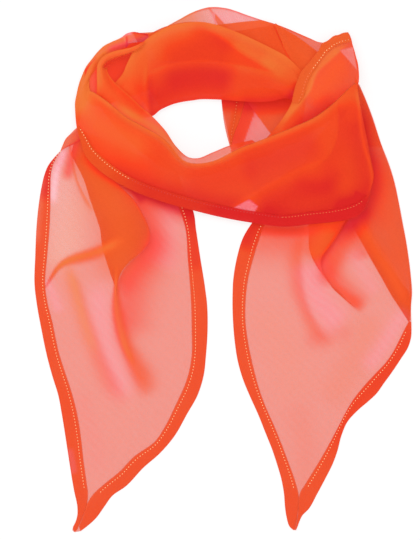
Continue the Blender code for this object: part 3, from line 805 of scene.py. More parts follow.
LEFT_STATIONS = (
    (127.7, 88.1, 3.5), (116.9, 73.7, 4.2), (106.1, 58.4, 4.2), (92.6, 43.1, 4.2), (80.9, 32.3, 4.2),
    (66.5, 25.1, 4.2), (52.1, 17.9, 4.2), (40.4, 10.7, 4.2), (28.7, 3.5, 4.2), (8.9, -5.5, 4.2),
    (-12.7, -17.2, 4.2), (-29.8, -31.6, 4.0), (-49.6, -49.6, 3.4), (-67.6, -66.7, 2.6),
    (-81.1, -81.1, 2.0), (-98.2, -98.2, 1.3), (-111.7, -111.7, 0.8), (-129.7, -128.8, 0.4),
    (-153.1, -149.5, 0.2), (-176.5, -173.8, 0.1), (-198.1, -197.2, 0), (-211.6, -211.6, 0),
    (-223.3, -223.3, 0), (-231.4, -230.9, 0), (-235.9, -235, 0),
)
LEFT_FOLD = (
    (-125.3, 116.9), (-116.3, 104.3), (-107.3, 91.7), (-98.3, 80.9), (-88.4, 71), (-80.3, 62.9),
    (-73.1, 51.2), (-66.8, 36.8), (-66.3, 26.9), (-73.1, 17), (-85.7, 6.2), (-92.9, -3.7), (-96, -15.4),
    (-96.5, -27.1), (-95.6, -40.6), (-92.9, -56.8), (-86.6, -81.1), (-78.5, -98.2), (-73.1, -111.7),
    (-72.2, -129.7), (-79.4, -151.3), (-100.1, -187.3), (-119.9, -223.3),
)
LEFT_UNDER = (
    (-143.3, 116.9), (-137.9, 106.1), (-131.6, 94.4), (-125.3, 81.8), (-119.3, 62.9), (-113, 44.9),
    (-110.9, 38.6), (-108.7, 23.3), (-106.4, 13.4), (-101.9, -1), (-96.9, -15.4), (-92.9, -27.1),
    (-88.4, -40.6), (-82.1, -56.8), (-72.2, -81.1), (-62.3, -98.2), (-58.7, -111.7), (-62.3, -129.7),
    (-72.2, -151.3), (-94.7, -187.3), (-117.2, -223.3),
)
LEFT_CREASES = (
    # a little thinner, with painted light, at the upper left
    (22, 22, 0.0, -0.22, 0.12, 0.0, (
        (-136.1, 98.9), (-143.3, 71.9), (-146.9, 44.9), (-143.3, 17.9), (-139.7, -4.6),
    )),
    # shade right of the raised fold, and its wide soft end
    (13, 0.6, 0.0, 1.1, -0.05, 0.05, (
        (-85.7, 75.5), (-78.5, 61.1), (-72.2, 50.3), (-66.3, 36.8), (-65.9, 26.9), (-73.1, 16.1),
        (-84.8, 5.3), (-92, -5.5), (-95.6, -19.9), (-95.6, -30.7),
    )),
    (20, 7, 0.0, 0.75, 0.0, 0.1, (
        (-60.5, 43.1), (-65, 26.9), (-73.1, 8.9), (-81.2, -7.3), (-86.6, -25.3), (-89.3, -43.3),
        (-90.2, -67.6),
    )),
    # shade under the ring's edge
    (6, 6, 0.0, 2.6, -1.1, 0.0, (
        (-128.9, 109.7), (-114.5, 95.3), (-97.4, 83.6), (-79.4, 73.7), (-56.9, 63.8), (-7.4, 46.7),
    )),
    (6, 12, 0.0, 0.7, -0.2, 0.05, (
        (-92.9, 75.5), (-65.9, 66.5), (-47.9, 59.3), (-29.9, 54.8), (6.1, 48.5),
    )),
    (4, 3, 0.0, 1.3, -0.8, 0.0, ((-94.7, 88.1), (-83.9, 77.3), (-76.7, 68.3), (-72.2, 57.5))),
    # ridge that runs on below the fold
    (4.2, 2.4, 1.5, 1.0, 0.25, 0.0, (
        (-96, 7.1, 0.5), (-96.5, -12.7, 0.55), (-96.5, -25.3, 0.9), (-95.6, -37.9, 1.3),
        (-92.9, -51.4, 1.4), (-88.4, -67.6, 1.6), (-82.1, -82.9, 2), (-74, -98.2, 2.4),
        (-64.1, -114.4, 2.6),
    )),
    (3.2, 2.6, 0.0, 1.6, 0.45, 0.0, (
        (-96, 7.1, 0.5), (-96.5, -12.7, 0.6), (-96.5, -25.3, 1.1), (-95.6, -37.9, 1.4),
        (-93.3, -51.4, 1.4), (-89.3, -65.8, 1.2), (-83.9, -78.4, 1), (-77.6, -90.1, 1),
    )),
    (10, 8, 1.0, 0.3, 0.1, 0.0, (
        (-94.7, -49.6), (-87.5, -67.6), (-80.3, -82.9), (-73.1, -99.1), (-65.9, -118.9),
    )),
    # second soft ridge at the left
    (4.5, 7, 1.5, 0.6, 0.35, 0.0, (
        (-143.3, 12.5, 0.6), (-137, -3.7, 0.9), (-131.6, -18.1, 1), (-127.1, -33.4, 1),
        (-121.7, -50.5, 1.1), (-114.5, -69.4, 1.1), (-106.4, -89.2, 1.2), (-95.6, -109, 1.2),
        (-83.9, -124.3, 1),
    )),
    (5, 7, 0.0, 0.1, 0.6, 0.0, (
        (-141.5, 7.1), (-135.2, -9.1), (-130.7, -25.3), (-125.3, -43.3), (-118.1, -63.1),
        (-110.9, -79.3),
    )),
    # small slanting pleat
    (1.2, 1.6, 1.2, 2.3, 0.6, 0.0, (
        (-164.9, -20.8, 0.6), (-159, -13.6, 0.6), (-154.1, -5.5, 0.8), (-148.7, 2.2, 1.3),
        (-142.4, 7.1, 2), (-134.3, 10.3, 2.7), (-123.5, 13.4, 3), (-112.7, 17, 3), (-102.8, 21.5, 2.8),
        (-87.5, 30.5, 2.5),
    )),
    # thin fold line at the top, with a lighter strip right of it
    (0.8, 1.8, 0.8, 0.8, 0.35, 0.0, (
        (-138.8, 118.7, 0.7), (-136.1, 102.5, 0.7), (-133.8, 89.9, 0.8), (-129.8, 76.4, 0.9),
        (-123.5, 63.8, 1.2), (-115.4, 50.3, 1.5),
    )),
    # the raised fold itself, lit
    (19, 17, 0.0, 0.6, 0.4, 0.0, (
        (-130.7, 116.9), (-118.1, 93.5), (-106.4, 71.9), (-94.7, 50.3), (-91.1, 26.9), (-95.6, 7.1),
        (-99.2, -18.1),
    )),
    # rosy fold at the very top, and the bright strip beside it
    (4.0, 4.4, 0.0, 0.85, -0.2, 0.15, (
        (-129.8, 129.5), (-133.4, 111.5), (-136.1, 100.7), (-138.8, 89.9), (-141.9, 78.2),
    )),
    (3.5, 4.0, 0.0, -0.3, 0.0, 0.8, (
        (-141.5, 115.1), (-145.5, 100.7), (-149.6, 89.9), (-151.8, 77.3), (-153.2, 55.7),
    )),
    # bright places between the ridges
    (13, 12, 0.0, -0.07, 0.0, 0.42, (
        (-118.1, -3.7), (-112.7, -23.5), (-110, -45.1), (-103.7, -70.3), (-93.8, -102.7),
        (-87.5, -126.1),
    )),
    (13, 13, 0.0, -0.03, 0.0, 0.25, ((-51.5, 62.9), (-47.9, 39.5), (-47.9, 17.9), (-54.2, -5.5))),
    (5, 5, 0.0, -0.07, 0.0, 0.4, ((-160.4, -5.5), (-155.9, -16.3), (-151.4, -27.1), (-146.9, -41.5))),
    # long low undulations, with painted light on their tops
    (16, 16, 0.8, 0.03, 0.35, 0.0, (
        (-125.3, 71.9), (-132.5, 49.4), (-137.9, 28.7), (-148.7, 10.7), (-161.3, -5.5),
    )),
    (12, 12, 0.8, 0.0, 0.0, 0.0, (
        (-65.9, -27.1), (-56.9, -54.1), (-52.4, -81.1), (-61.4, -108.1), (-74.9, -135.1),
    )),
    (10, 10, 0.6, 0.07, 0.1, 0.1, (
        (-133.4, -103.6), (-121.7, -135.1), (-115.4, -162.1), (-116.3, -189.1),
    )),
    (12, 12, 0.6, 0.0, 0.0, 0.0, ((-92.9, -126.1), (-94.7, -144.1), (-100.1, -166.6), (-110.9, -189.1))),
)
LEFT_HEM_SHADES = (
    (7, 7, 0.0, 0.48, -0.9, 0.0, (
        (-137.9, 120.5), (-146.9, 107.9), (-152.3, 98.9), (-155.9, 88.1), (-159.5, 75.5),
        (-161.3, 58.4),
    )),
    (3, 3.5, 0.0, -0.9, 0.3, 0.1, (
        (-159.5, 91.7), (-163.1, 73.7), (-165.3, 58.4), (-166.9, 40.4), (-167.6, 17.9),
    )),
    (2.5, 2.5, 0.0, -0.9, 0.0, 0.3, (
        (-138.8, -158.5), (-137, -166.6), (-135.2, -175.6), (-134.3, -185.5),
    )),
)
INNER_HEM_SHADES = (
    (14, 14, 0.0, 0.54, -0.8, 0.0, ((-65.9, 71.9), (-40.7, 59.3), (-20.9, 51.2), (-7.4, 44.9))),
    (9, 9, 0.0, 0.3, -0.45, 0.0, ((-33.5, 62.9), (-29.9, 43.1), (-27.2, 22.4), (-23.6, -4.6))),
)
# y on the folded and on the sewn edge of each hem, in pairs, and the hems' sewn edges
LEFT_HEM_OUTER_PAIRS = (
    (107, 106.6), (101.2, 102.1), (93.5, 94.9), (86.3, 86.8), (74.6, 72.8), (58.4, 56.6), (40.4, 38.6),
    (13.4, 12.5), (-14.5, -13.6), (-31.6, -28.9), (-51.4, -46), (-81.1, -75.7), (-97.3, -91.9),
    (-111.7, -106.3), (-130.6, -127), (-153.1, -149.5), (-176.5, -172), (-198.1, -190.9),
    (-211.6, -201.7), (-219.7, -210.7), (-226.9, -219.7), (-232.3, -226.9), (-235.9, -233.2),
)
LEFT_HEM_OUTER_EDGE = (
    (-146, 107.9), (-147.3, 105.2), (-150.9, 99.8), (-153.2, 94.4), (-155, 86.3), (-155.4, 71.9),
    (-155.6, 46.7), (-156.5, 33.2), (-158.6, 7.1), (-160.1, -13.6), (-158.1, -28.9), (-153.6, -46.9),
    (-146.9, -77.5), (-137.4, -106.3), (-131.6, -127.9), (-128, -149.5), (-125.7, -170.2),
    (-123.5, -187.3), (-121.7, -199), (-122.1, -208.9), (-124.8, -217.9), (-128.4, -226.9),
    (-131.6, -234.1),
)
LEFT_HEM_INNER_PAIRS = (
    (65.6, 66.5), (53.9, 55.3), (37.7, 39.5), (7.1, 8.9), (-15.4, -14.5), (-29.8, -28.9),
    (-51.4, -52.3), (-76.6, -77.5), (-95.5, -91.9), (-111.7, -103.6), (-129.7, -119.8),
    (-151.3, -142.3), (-163.9, -154), (-178.3, -167.5), (-194.5, -181.9), (-203.5, -192.7),
    (-213.4, -201.7), (-223.3, -210.7), (-230.5, -220.6), (-235, -230.5),
)
LEFT_HEM_INNER_EDGE = (
    (-47, 73.7), (-43.4, 63.8), (-39.5, 54.8), (-34.4, 38.6), (-31.9, 8.9), (-29.2, -27.1),
    (-28.5, -52.3), (-29, -81.1), (-31.7, -94.6), (-36.6, -108.1), (-47.9, -130.6), (-59.6, -152.2),
    (-69.5, -160.7), (-79.4, -167), (-90.2, -178.3), (-99.2, -186.4), (-107.3, -192.7), (-114.5, -199),
    (-121.2, -207.1), (-124.8, -217.9), (-128.4, -226.9), (-130.7, -233.2),
)
left_outer, left_inner = side(LEFT_OUTER), side(LEFT_INNER)
left_panel = tail(left_outer, left_inner, LEFT_STATIONS, LEFT_FOLD, LEFT_UNDER, 400)
left_grid, *left_look = creased(left_panel, LEFT_CREASES)
left_tail = sheet_of("left_tail_cloth", lay(left_grid), 1.0 + left_look[0], left_look[1], left_look[2])
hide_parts("left_tail")
left_hem_outer, left_line_outer = hem_of(
    "left_tail_outer_hem",
    paired(left_outer, side(LEFT_HEM_OUTER_EDGE), LEFT_HEM_OUTER_PAIRS),
    200,
    plies=2.4,
    shades=LEFT_HEM_SHADES,
)
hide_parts("left_tail_hem_outer")
left_hem_inner, left_line_inner = hem_of(
    "left_tail_inner_hem",
    paired(left_inner, side(LEFT_HEM_INNER_EDGE), LEFT_HEM_INNER_PAIRS),
    200,
    plies=2.4,
    shades=INNER_HEM_SHADES,
)
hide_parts("left_tail_hem_inner")
# both rows of stitches stop short of the tip, where the hems meet
left_stitches = stitches("left_tail_stitches", [left_line_outer[:178], left_line_inner[:178]])

# the same for the right tail, whose pleat is right of its middle
RIGHT_INNER = (
    (77.2, 109.7), (70, 90.8), (56.1, 71.5), (44.8, 62.9), (34.9, 53.9), (25.5, 41.8), (16.9, 26.9),
    (13.3, 15.2), (10.6, 2.6), (8.8, -10.9), (8.4, -21.7), (8.8, -46), (10.3, -64), (12.9, -81.1),
    (17.4, -97.3), (23.2, -111.7), (31.3, -129.7), (38.5, -147.7), (43.9, -161.2), (48.4, -174.7),
    (52.5, -189.1), (54.7, -201.7), (55.6, -213.4), (57, -222.4), (60.1, -231.4), (63.7, -234.5),
)
RIGHT_OUTER = (
    (119.5, 173.1), (126.7, 157.4), (133.4, 140.3), (142.9, 111.5), (148.9, 96.2), (153.7, 80.9),
    (158.2, 60.2), (161.8, 41.3), (164.5, 26.9), (166.6, 13.4), (168.8, -4.6), (169.9, -19.9),
    (168.8, -34.3), (169.2, -46.9), (169, -60.8), (166.8, -68.5), (159.1, -81.1), (151.9, -91.9),
    (144.7, -101.8), (137.5, -111.7), (130.3, -118.4), (121.3, -126.1), (111.9, -136.4),
    (106.5, -148.6), (102.7, -163), (98.8, -173.8), (91.6, -188.2), (84.4, -201.7), (76.8, -215.2),
    (71.4, -220.6), (68.7, -226), (66.7, -231.4), (65.1, -234.8),
)
RIGHT_STATIONS = (
    (108.8, 167.3, 4.5), (89.9, 151.1, 4.5), (71, 131.3, 4.5), (56.6, 117.8, 4.5), (42.2, 103.4, 4.5),
    (26.9, 75.5, 4.5), (17.9, 58.4, 4.5), (7.1, 41.3, 4.5), (-3.7, 25.1, 4.4), (-15.4, 10.7, 3.6),
    (-24.4, -3.7, 2.2), (-32.5, -16.3, 1.0), (-46.9, -35.2, 0.5), (-64, -58.6, 0.3),
    (-81.1, -76.6, 0.1), (-97.3, -96.4, 0), (-111.7, -113.5, 0), (-129.7, -129.7, 0),
    (-147.7, -145.9, 0), (-161.2, -160.3, 0), (-174.7, -173.8, 0), (-189.1, -188.2, 0),
    (-202.6, -202.6, 0), (-214.3, -214.3, 0), (-223.3, -222.4, 0), (-230.5, -229.6, 0),
    (-234.1, -234.1, 0),
)
RIGHT_FOLD = (
    (115.9, 107.9), (117.7, 80.9), (115, 58.4), (109.6, 44.9), (103.3, 33.2), (94.3, 19.7),
    (88.5, 12.5), (87.1, 6.2), (88.5, -0.1), (91.6, -5.9), (97, -12.7), (103.8, -19.4), (111.4, -27.1),
    (118.6, -34.3), (114.1, -63.1), (105.1, -99.1), (87.1, -144.1), (73.6, -189.1), (66.4, -225.1),
)
RIGHT_UNDER = (
    (85.3, 107.9), (79, 76.4), (77.2, 58.4), (77.2, 35), (78.1, 17.9), (80.8, 9.8), (84.4, 3.5),
    (88, -1.9), (91.6, -6.8), (97.9, -15.4), (105.1, -22.6), (112.3, -28.9), (120.4, -36.1),
    (124.9, -64.9), (119.5, -99.1), (100.6, -144.1), (81.7, -189.1), (70.9, -225.1),
)
RIGHT_CREASES = (
    # painted shade on the raised fold's dark side, right of it, and the soft fold beside it
    (2.2, 1.6, 0.0, 1.6, -0.25, 0.0, (
        (117.7, 55.7), (110.5, 44), (103.8, 33.7), (96.1, 22.4), (89.8, 13), (87.6, 5.3), (88.9, -2.8),
    )),
    (8, 0.6, 0.0, 0.88, -0.3, 0.1, (
        (124.9, 62.9, 1.3), (114.1, 45.8, 1.1), (106, 34.1, 0.8), (97, 21.5, 0.6), (89.8, 11.6, 0.6),
        (87.6, 1.7, 0.6),
    )),
    (9, 8, 0.8, 1.1, 0.05, 0.0, (
        (124.9, 55.7), (115.9, 39.5), (108.7, 26), (101.5, 12.5), (94.3, -1.9), (92.5, -18.1),
    )),
    # sharp ridge that runs on from the pleat
    (3.6, 1.6, 0.6, 1.3, 0.2, 0.0, (
        (77.2, 23.3, 0.6), (80.8, 12.5, 0.8), (86.2, 3.5, 0.9), (92.5, -5.9, 0.9), (100.6, -14.9, 0.9),
        (108.7, -22.6, 1.1), (117.7, -30.7, 1.6), (126.7, -37.9, 2),
    )),
    (10, 3, 0.0, 0.75, 0.05, 0.05, (
        (81.7, 17.9), (91.6, -0.1), (103.3, -13.6), (112.3, -22.6), (119.5, -29.8), (128.5, -38.8),
    )),
    # the layers folded under at the right, seen through
    (5.5, 5.5, 0.0, 1.1, 0.3, 0.0, (
        (110.5, 71.9), (115.9, 57.5), (124.9, 39.5), (137.5, 17.9), (151.9, -5.5), (160.9, -21.7),
        (171.7, -41.5),
    )),
    (13, 13, 0.0, 0.5, 0.15, 0.0, (
        (133.9, 107.9), (141.1, 80.9), (146.5, 53.9), (153.7, 28.7), (160.9, 4.4), (169.9, -27.1),
    )),
    # warm light on the pleat
    (10, 10, 0.0, 1.0, 0.35, 0.0, ((101.5, 57.5), (94.3, 39.5), (87.1, 23.3), (82.6, 7.1))),
    # soft fold left of the pleat
    (3.8, 8, 1.2, 0.62, 0.15, 0.0, (
        (76.3, 41.3, 0.6), (70, 26.9, 0.9), (66.9, 12.5, 1), (66.9, -1.9, 1), (69.1, -18.1, 0.9),
        (73.6, -32.5, 0.8), (80.8, -47.8, 0.9), (90.7, -61.3, 1), (103.3, -68.5, 1),
    )),
    (14, 14, 0.6, 0, 0.0, 0.5, (
        (73.6, 12.5), (78.1, -5.5), (85.3, -25.3), (97.9, -41.5), (110.5, -54.1),
    )),
    # shade under the ring's edge
    (5, 5, 0.0, 2.2, -0.3, 0.0, (
        (2.5, 43.1), (34.9, 37.7), (60.1, 35.9), (87.1, 38.6), (114.1, 43.1), (137.5, 55.7),
    )),
    (6, 20, 0.0, 0.75, 0.05, 0.05, ((7.9, 34.1), (34.9, 33.2), (60.1, 31.4), (83.5, 34.1), (96.1, 35.9))),
    (7, 8, 0.0, 1.09, -0.9, 0.0, (
        (97.9, 25.1), (112.3, 35.9), (123.1, 45.8), (131.2, 60.2), (135.7, 76.4), (134.8, 91.7),
        (128.5, 109.7), (124.9, 130.4), (122.2, 161.9),
    )),
    (10, 15, 0.0, 0.34, -0.1, 0.0, (
        (124.9, 30.5), (137.5, 53.9), (141.1, 71.9), (138.4, 94.4), (133, 116.9), (126.7, 148.4),
    )),
    # dense place over the hem of the part folded under
    (9, 9, 0.0, 0.55, 0.0, 0.0, ((112.3, 52.1), (118.6, 35.9), (124, 21.5), (129.4, 7.1))),
    # rosy places
    (8, 8, 0.0, 0.0, 0.0, 0.25, ((114.1, 21.5), (121.3, 7.1), (130.3, -9.1), (139.3, -25.3))),
    (8, 8, 0.0, -0.05, 0.0, 0.4, ((168.1, -32.5), (157.3, -46.9), (144.7, -67.6), (124.9, -93.7))),
    # faint streak across, and long low undulations
    (7, 9, 0.0, 0.16, 0.0, 0.05, (
        (69.1, -66.7), (81.7, -62.2), (94.3, -59.5), (106.9, -56.8), (119.5, -53.2),
    )),
    (20, 20, 0.8, 0.05, 0.15, 0.0, (
        (34.9, -27.1), (43.9, -54.1), (55.6, -73.9), (61.9, -99.1), (69.1, -126.1),
    )),
    (14, 14, 0.6, 0.14, 0.2, 0.0, (
        (128.5, -32.5), (128.5, -57.7), (115.9, -81.1), (105.1, -103.6), (91.6, -126.1),
    )),
    (12, 12, 0.6, 0.1, 0.05, 0.0, (
        (61.9, -112.6), (69.1, -135.1), (73.6, -157.6), (74.5, -180.1), (70.9, -207.1),
    )),
)
RIGHT_HEM_SHADES = (
    (10, 10, 0.0, 0.54, -0.8, 0.0, (
        (54.7, 57.5), (40.3, 50.3), (30.4, 42.2), (22.3, 30.5), (15.1, 16.1),
    )),
)
RIGHT_OUTER_SHADES = (
    (9, 9, 0.0, 0.34, -0.25, 0.0, (
        (169, -37.9), (162.7, -63.1), (151.9, -82.9), (135.7, -102.7), (114.1, -124.3), (101.5, -145.9),
        (94.3, -171.1),
    )),
)
RIGHT_FLAP_EDGES = (
    (118.2, 174.5, 118.6, 170.9),
    (126.2, 157.4, 116.8, 156.5),
    (132.7, 140.3, 114.1, 140.3),
    (142.5, 111.5, 112.3, 111.5),
    (153.1, 80.9, 110.5, 80.9),
    (157.8, 60.2, 111.4, 58.4),
    (161.2, 41.3, 115, 43.1),
    (164.1, 26.9, 121.3, 30.5),
    (166.1, 13.4, 130.3, 14.3),
    (168.3, -4.6, 141.1, -4.6),
    (169.5, -19.9, 149.7, -19.9),
    (169, -32.5, 158.2, -33.4),
    (168.6, -45.1, 166.8, -46.9),
)
RIGHT_FLAP = [(*edges, 0, 0, 0, 0.5) for edges in RIGHT_FLAP_EDGES]
FLAP_HEM = (
    (112.3, 71.9, 124, 71.9), (111.9, 58.4, 121.3, 58.4), (115, 43.1, 124, 46.7),
    (119.1, 34.1, 128.5, 36.8), (124.5, 25.6, 133.5, 26.9), (133, 9.4, 141.1, 14.3),
    (142, -5.9, 151, 2.6), (152.8, -25.3, 160.9, -11.8), (160.9, -37, 168.1, -21.7),
    (167.2, -46.9, 169, -35.2),
)
RIGHT_HEM_INNER_PAIRS = (
    (62.9, 57.5), (53.9, 49.4), (41.8, 39.5), (26.9, 24.2), (15.2, 16.1), (2.6, 5.3), (-10.9, -8.2),
    (-21.7, -19), (-46, -46), (-64, -64), (-81.1, -79.3), (-97.3, -92.8), (-111.7, -106.3),
    (-129.7, -122.5), (-147.7, -139.6), (-161.2, -154), (-174.7, -168.4), (-189.1, -182.8),
    (-201.7, -193.6), (-213.4, -203.5), (-222.4, -214.3), (-230.5, -225.1), (-234.1, -233.2),
)
RIGHT_HEM_INNER_EDGE = (
    (53.8, 60.2), (44.8, 52.1), (36.7, 39.5), (31.3, 24.2), (26.8, 8.9), (23.2, -4.6), (21.4, -15.4),
    (20.3, -31.6), (20.5, -51.4), (22.3, -64), (25.5, -80.2), (29.5, -96.4), (34.5, -113.5),
    (41.2, -129.7), (48.4, -145.9), (54.3, -161.2), (60.1, -176.5), (65.1, -190.9), (68.2, -203.5),
    (67.8, -214.3), (66.2, -225.1), (64.6, -234.1),
)
RIGHT_HEM_OUTER_PAIRS = (
    (-46.9, -46), (-55, -50.5), (-61.3, -56.8), (-68.5, -63.1), (-81.1, -73.9), (-91.9, -82.9),
    (-101.8, -92.8), (-111.7, -100.9), (-118.4, -107.2), (-126.1, -116.2), (-136.4, -127),
    (-148.6, -139.6), (-163, -155.8), (-173.8, -166.6), (-188.2, -181), (-201.7, -192.7),
    (-215.2, -201.7), (-220.6, -209.8), (-226, -218.8), (-231.4, -226.9), (-234.5, -233.2),
)
RIGHT_HEM_OUTER_EDGE = (
    (167.5, -45.1), (163.6, -52.3), (157.8, -64), (148.3, -80.6), (138, -91.9), (127.2, -103.6),
    (115.9, -118), (106.5, -135.1), (98.8, -149.9), (92.1, -162.1), (80.8, -181), (73.6, -192.7),
    (68.2, -203), (67.8, -214.3), (66.2, -225.1), (64.8, -234.1),
)
FLAP_CREASES = (
    (1.0, 1.0, 0.0, 0.88, 0.1, 0.0, (
        (114.1, 183.5), (124, 157.4), (132.8, 140.3), (142.7, 111.5), (153.4, 80.9), (161.4, 41.3),
        (166.1, 13.4), (169, -19.9), (169, -54.1),
    )),
    (9, 9, 0.0, 0.2, 0.4, 0.0, (
        (144.7, 107.9), (151.9, 76.4), (157.3, 49.4), (160.9, 22.4), (163.6, -9.1),
    )),
    (11, 11, 0.0, 0.27, 0.3, 0.0, ((115.9, 49.4), (126.7, 37.7), (141.1, 21.5), (153.7, -0.1))),
)
flap_grid, *flap_look = creased(band(RIGHT_FLAP, 110, 60), FLAP_CREASES)
doubled = 1.1 * ease((flap_grid[..., 1] - 110.2) / 1.2)  # two layers lie together above here
# painted light on the flap, less where two layers lie together
right_flap = sheet_of(
    "right_tail_flap_cloth",
    lay(flap_grid + np.array([0, 0, 0.3])),
    1.3 + doubled + flap_look[0],
    0.3 - 0.15 * doubled + flap_look[1],
)
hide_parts("right_tail_flap")
flap_hem = hem_of("right_tail_flap_hem", FLAP_HEM, 90, plies=1.5, painted_light=0.25)[0]
right_inner, right_outer = side(RIGHT_INNER), side(RIGHT_OUTER)
right_panel = tail(right_inner, right_outer, RIGHT_STATIONS, RIGHT_FOLD, RIGHT_UNDER, 400)
right_grid, *right_look = creased(right_panel, RIGHT_CREASES)
right_tail = sheet_of(
    "right_tail_cloth", lay(right_grid), 1.0 + right_look[0], right_look[1], right_look[2]
)
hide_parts("right_tail")
right_hem_inner, right_line_inner = hem_of(
    "right_tail_inner_hem",
    paired(right_inner, side(RIGHT_HEM_INNER_EDGE), RIGHT_HEM_INNER_PAIRS),
    200,
    plies=2.4,
    shades=RIGHT_HEM_SHADES,
)
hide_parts("right_tail_hem_inner")
right_hem_outer, right_line_outer = hem_of(
    "right_tail_outer_hem",
    paired(right_outer, side(RIGHT_HEM_OUTER_EDGE), RIGHT_HEM_OUTER_PAIRS),
    150,
    plies=2.4,
    shades=RIGHT_OUTER_SHADES,
)
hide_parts("right_tail_hem_outer")
right_stitches = stitches("right_tail_stitches", [right_line_inner[:176], right_line_outer[8:122]])


# ---------------------------------------------------------------- corner of the left tail's hem
# A short end of the hem that stands out at the left, between the ring and the tail. It is folded
# over once and lies on the top left corner of the tail.

LEFT_CORNER = (
    (-129.8, 129.5, -125.3, 116.9, 3, 4, 4, 0.5),
    (-134.3, 125.5, -129.3, 115.6, 2.5, 3.5, 3, 0.5),
    (-137.9, 121.9, -133.4, 113.3, 2.2, 3, 2.5, 0.5),
    (-141.8, 117.8, -138.3, 111.1, 1.8, 2.5, 2, 0.5),
    (-144.4, 112.4, -142.4, 109.3, 1.4, 2, 1.6, 0.5),
    (-146.4, 107.5, -146, 107, 1.2, 1.4, 1.2, 0.5),
)
CORNER_CREASES = (
    (1.0, 1.0, 0.1, 0.88, 0.1, 0.0, (
        (-127.1, 133.1), (-134.3, 125.5), (-141.8, 117.8), (-144.4, 112.4), (-147.8, 104.3),
    )),
    (1.4, 1.4, 0.1, 1.09, -0.9, 0.0, ((-121.7, 120.5), (-128, 116.5), (-136.1, 112), (-145.1, 107.9))),
    (7, 7, 0.2, 0.54, -0.5, 0.0, ((-125.3, 131.3), (-127.1, 123.2), (-125.3, 112.4))),
)
corner_grid, *corner_look = creased(band(LEFT_CORNER, 40, 16), CORNER_CREASES)
# the corner carries painted light
left_corner = sheet_of(
    "left_tail_corner",
    lay(corner_grid),
    1.1 + corner_look[0],
    0.45 + corner_look[1],
    0.1,
    hem_cloth,
)


# ---------------------------------------------------------------- folds wound inside the ring
# The strip goes round twice, so each side of the ring has several gathered layers inside it. They
# are seen through the outer cloth as deeper colour, most of them with painted shade, and a few of
# their edges show as lines.

FRONT_BAND = (
    (-131.6, 127.7, -119.4, 160.1, 2.5, 8, 8, 0.7),
    (-128.5, 116.5, -116.3, 158.8, 3, 10, 9, 0.75),
    (-123.9, 102.8, -110, 154.7, 4, 15, 12, 0.8),
    (-113.6, 91.3, -100.1, 147.1, 5, 18, 13, 0.85),
    (-100.4, 81.5, -87.5, 136.7, 6, 20, 13, 0.87),
    (-83.9, 72.4, -73.1, 128.6, 6, 21, 13, 0.88),
    (-56.9, 62, -52.4, 116, 6, 21, 12, 0.88),
    (-27.2, 53.5, -32.6, 96.2, 6, 20, 9, 0.85),
    (-2.9, 47.6, -11.9, 96.2, 5, 20, 9, 0.85),
    (25, 42.5, 15.1, 108.4, 5, 21, 11, 0.87),
    (55.6, 38.8, 40.3, 117.8, 6, 22, 14, 0.87),
    (78.1, 41, 63.7, 127.3, 7, 23, 15, 0.85),
    (98.8, 43.1, 83.5, 136.7, 7, 23, 16, 0.83),
    (112.3, 45.5, 97.9, 147.5, 6, 22, 16, 0.8),
    (122.2, 49.9, 109.2, 158.3, 5, 20, 15, 0.75),
    (127.6, 56.6, 115.9, 164.6, 4, 17, 13, 0.7),
    (132.6, 72.8, 119.5, 165.5, 3, 14, 11, 0.7),
    (135.3, 84.5, 120.4, 157.4, 2.5, 11, 9, 0.7),
    (131.7, 100.7, 121.3, 147.5, 2.5, 8, 7, 0.7),
)
BACK_BAND = (
    (-103.7, 160.1, -79.4, 135.8, 8, 9, 5, 0.3),
    (-96.5, 168.2, -69.5, 136.7, 10, 11, 4, 0.25),
    (-90.2, 175.4, -63.2, 138.5, 12, 14, 3, 0.2),
    (-85.7, 185.3, -56.9, 143.6, 14, 17, 3, 0.18),
    (-80.3, 195.2, -50.6, 146.8, 15, 19, 3, 0.16),
    (-70.4, 205.1, -43.4, 149.5, 14, 20, 3, 0.16),
    (-58.7, 213.2, -35.3, 151.3, 12, 20, 3, 0.16),
    (-47.9, 218.6, -28.1, 152.3, 11, 20, 3, 0.16),
    (-34.4, 221.3, -20, 153.4, 11, 20, 3, 0.16),
    (-20.9, 222.2, -11, 153.4, 11, 20, 3, 0.16),
    (-9.2, 220.4, -1.1, 152.9, 11, 19, 4, 0.18),
    (7, 215, 9.7, 152, 11, 19, 5, 0.18),
    (24.1, 207.8, 21.4, 151.1, 11, 18, 6, 0.2),
    (42.1, 198.8, 33.1, 150.7, 10, 17, 6, 0.2),
    (56.5, 190.7, 43.9, 151.6, 9, 16, 7, 0.22),
    (70, 178.1, 56.5, 153.8, 9, 14, 7, 0.3),
    (79.9, 169.1, 69.1, 149.3, 8, 11, 7, 0.4),
)
POCKET = (
    (-124.4, 179.9, -125.3, 154.7, 3, 5, 5, 0.5),
    (-118.1, 187.1, -116.3, 147.5, 5, 7, 6, 0.5),
    (-109.1, 194.3, -105.5, 147.5, 6, 9, 7, 0.5),
    (-98.3, 199.7, -92.9, 152.9, 6, 9, 7, 0.5),
    (-85.7, 203.3, -80.3, 156.5, 6, 9, 7, 0.5),
    (-69.5, 205.1, -65.9, 161.9, 6, 9, 7, 0.5),
)
FRONT_INNER_RIGHT = (
    (20.5, 57.5, 25.9, 64.7, 7, 8, 8, 0.5),
    (34.9, 52.1, 43.9, 77.3, 7, 11, 11, 0.6),
    (52.9, 48.5, 67.3, 93.5, 7, 15, 14, 0.7),
    (73.6, 49.4, 88.9, 100.3, 7, 17, 15, 0.7),
    (91.6, 51.2, 99.7, 108.8, 7, 18, 15, 0.7),
    (107.8, 53.9, 103.3, 125.9, 7, 18, 15, 0.7),
    (121.3, 60.2, 104.2, 147.5, 6, 17, 14, 0.7),
    (130.3, 76.4, 114.1, 160.1, 5, 12, 11, 0.7),
    (130.3, 94.4, 117.7, 156.5, 4, 9, 8, 0.7),
)
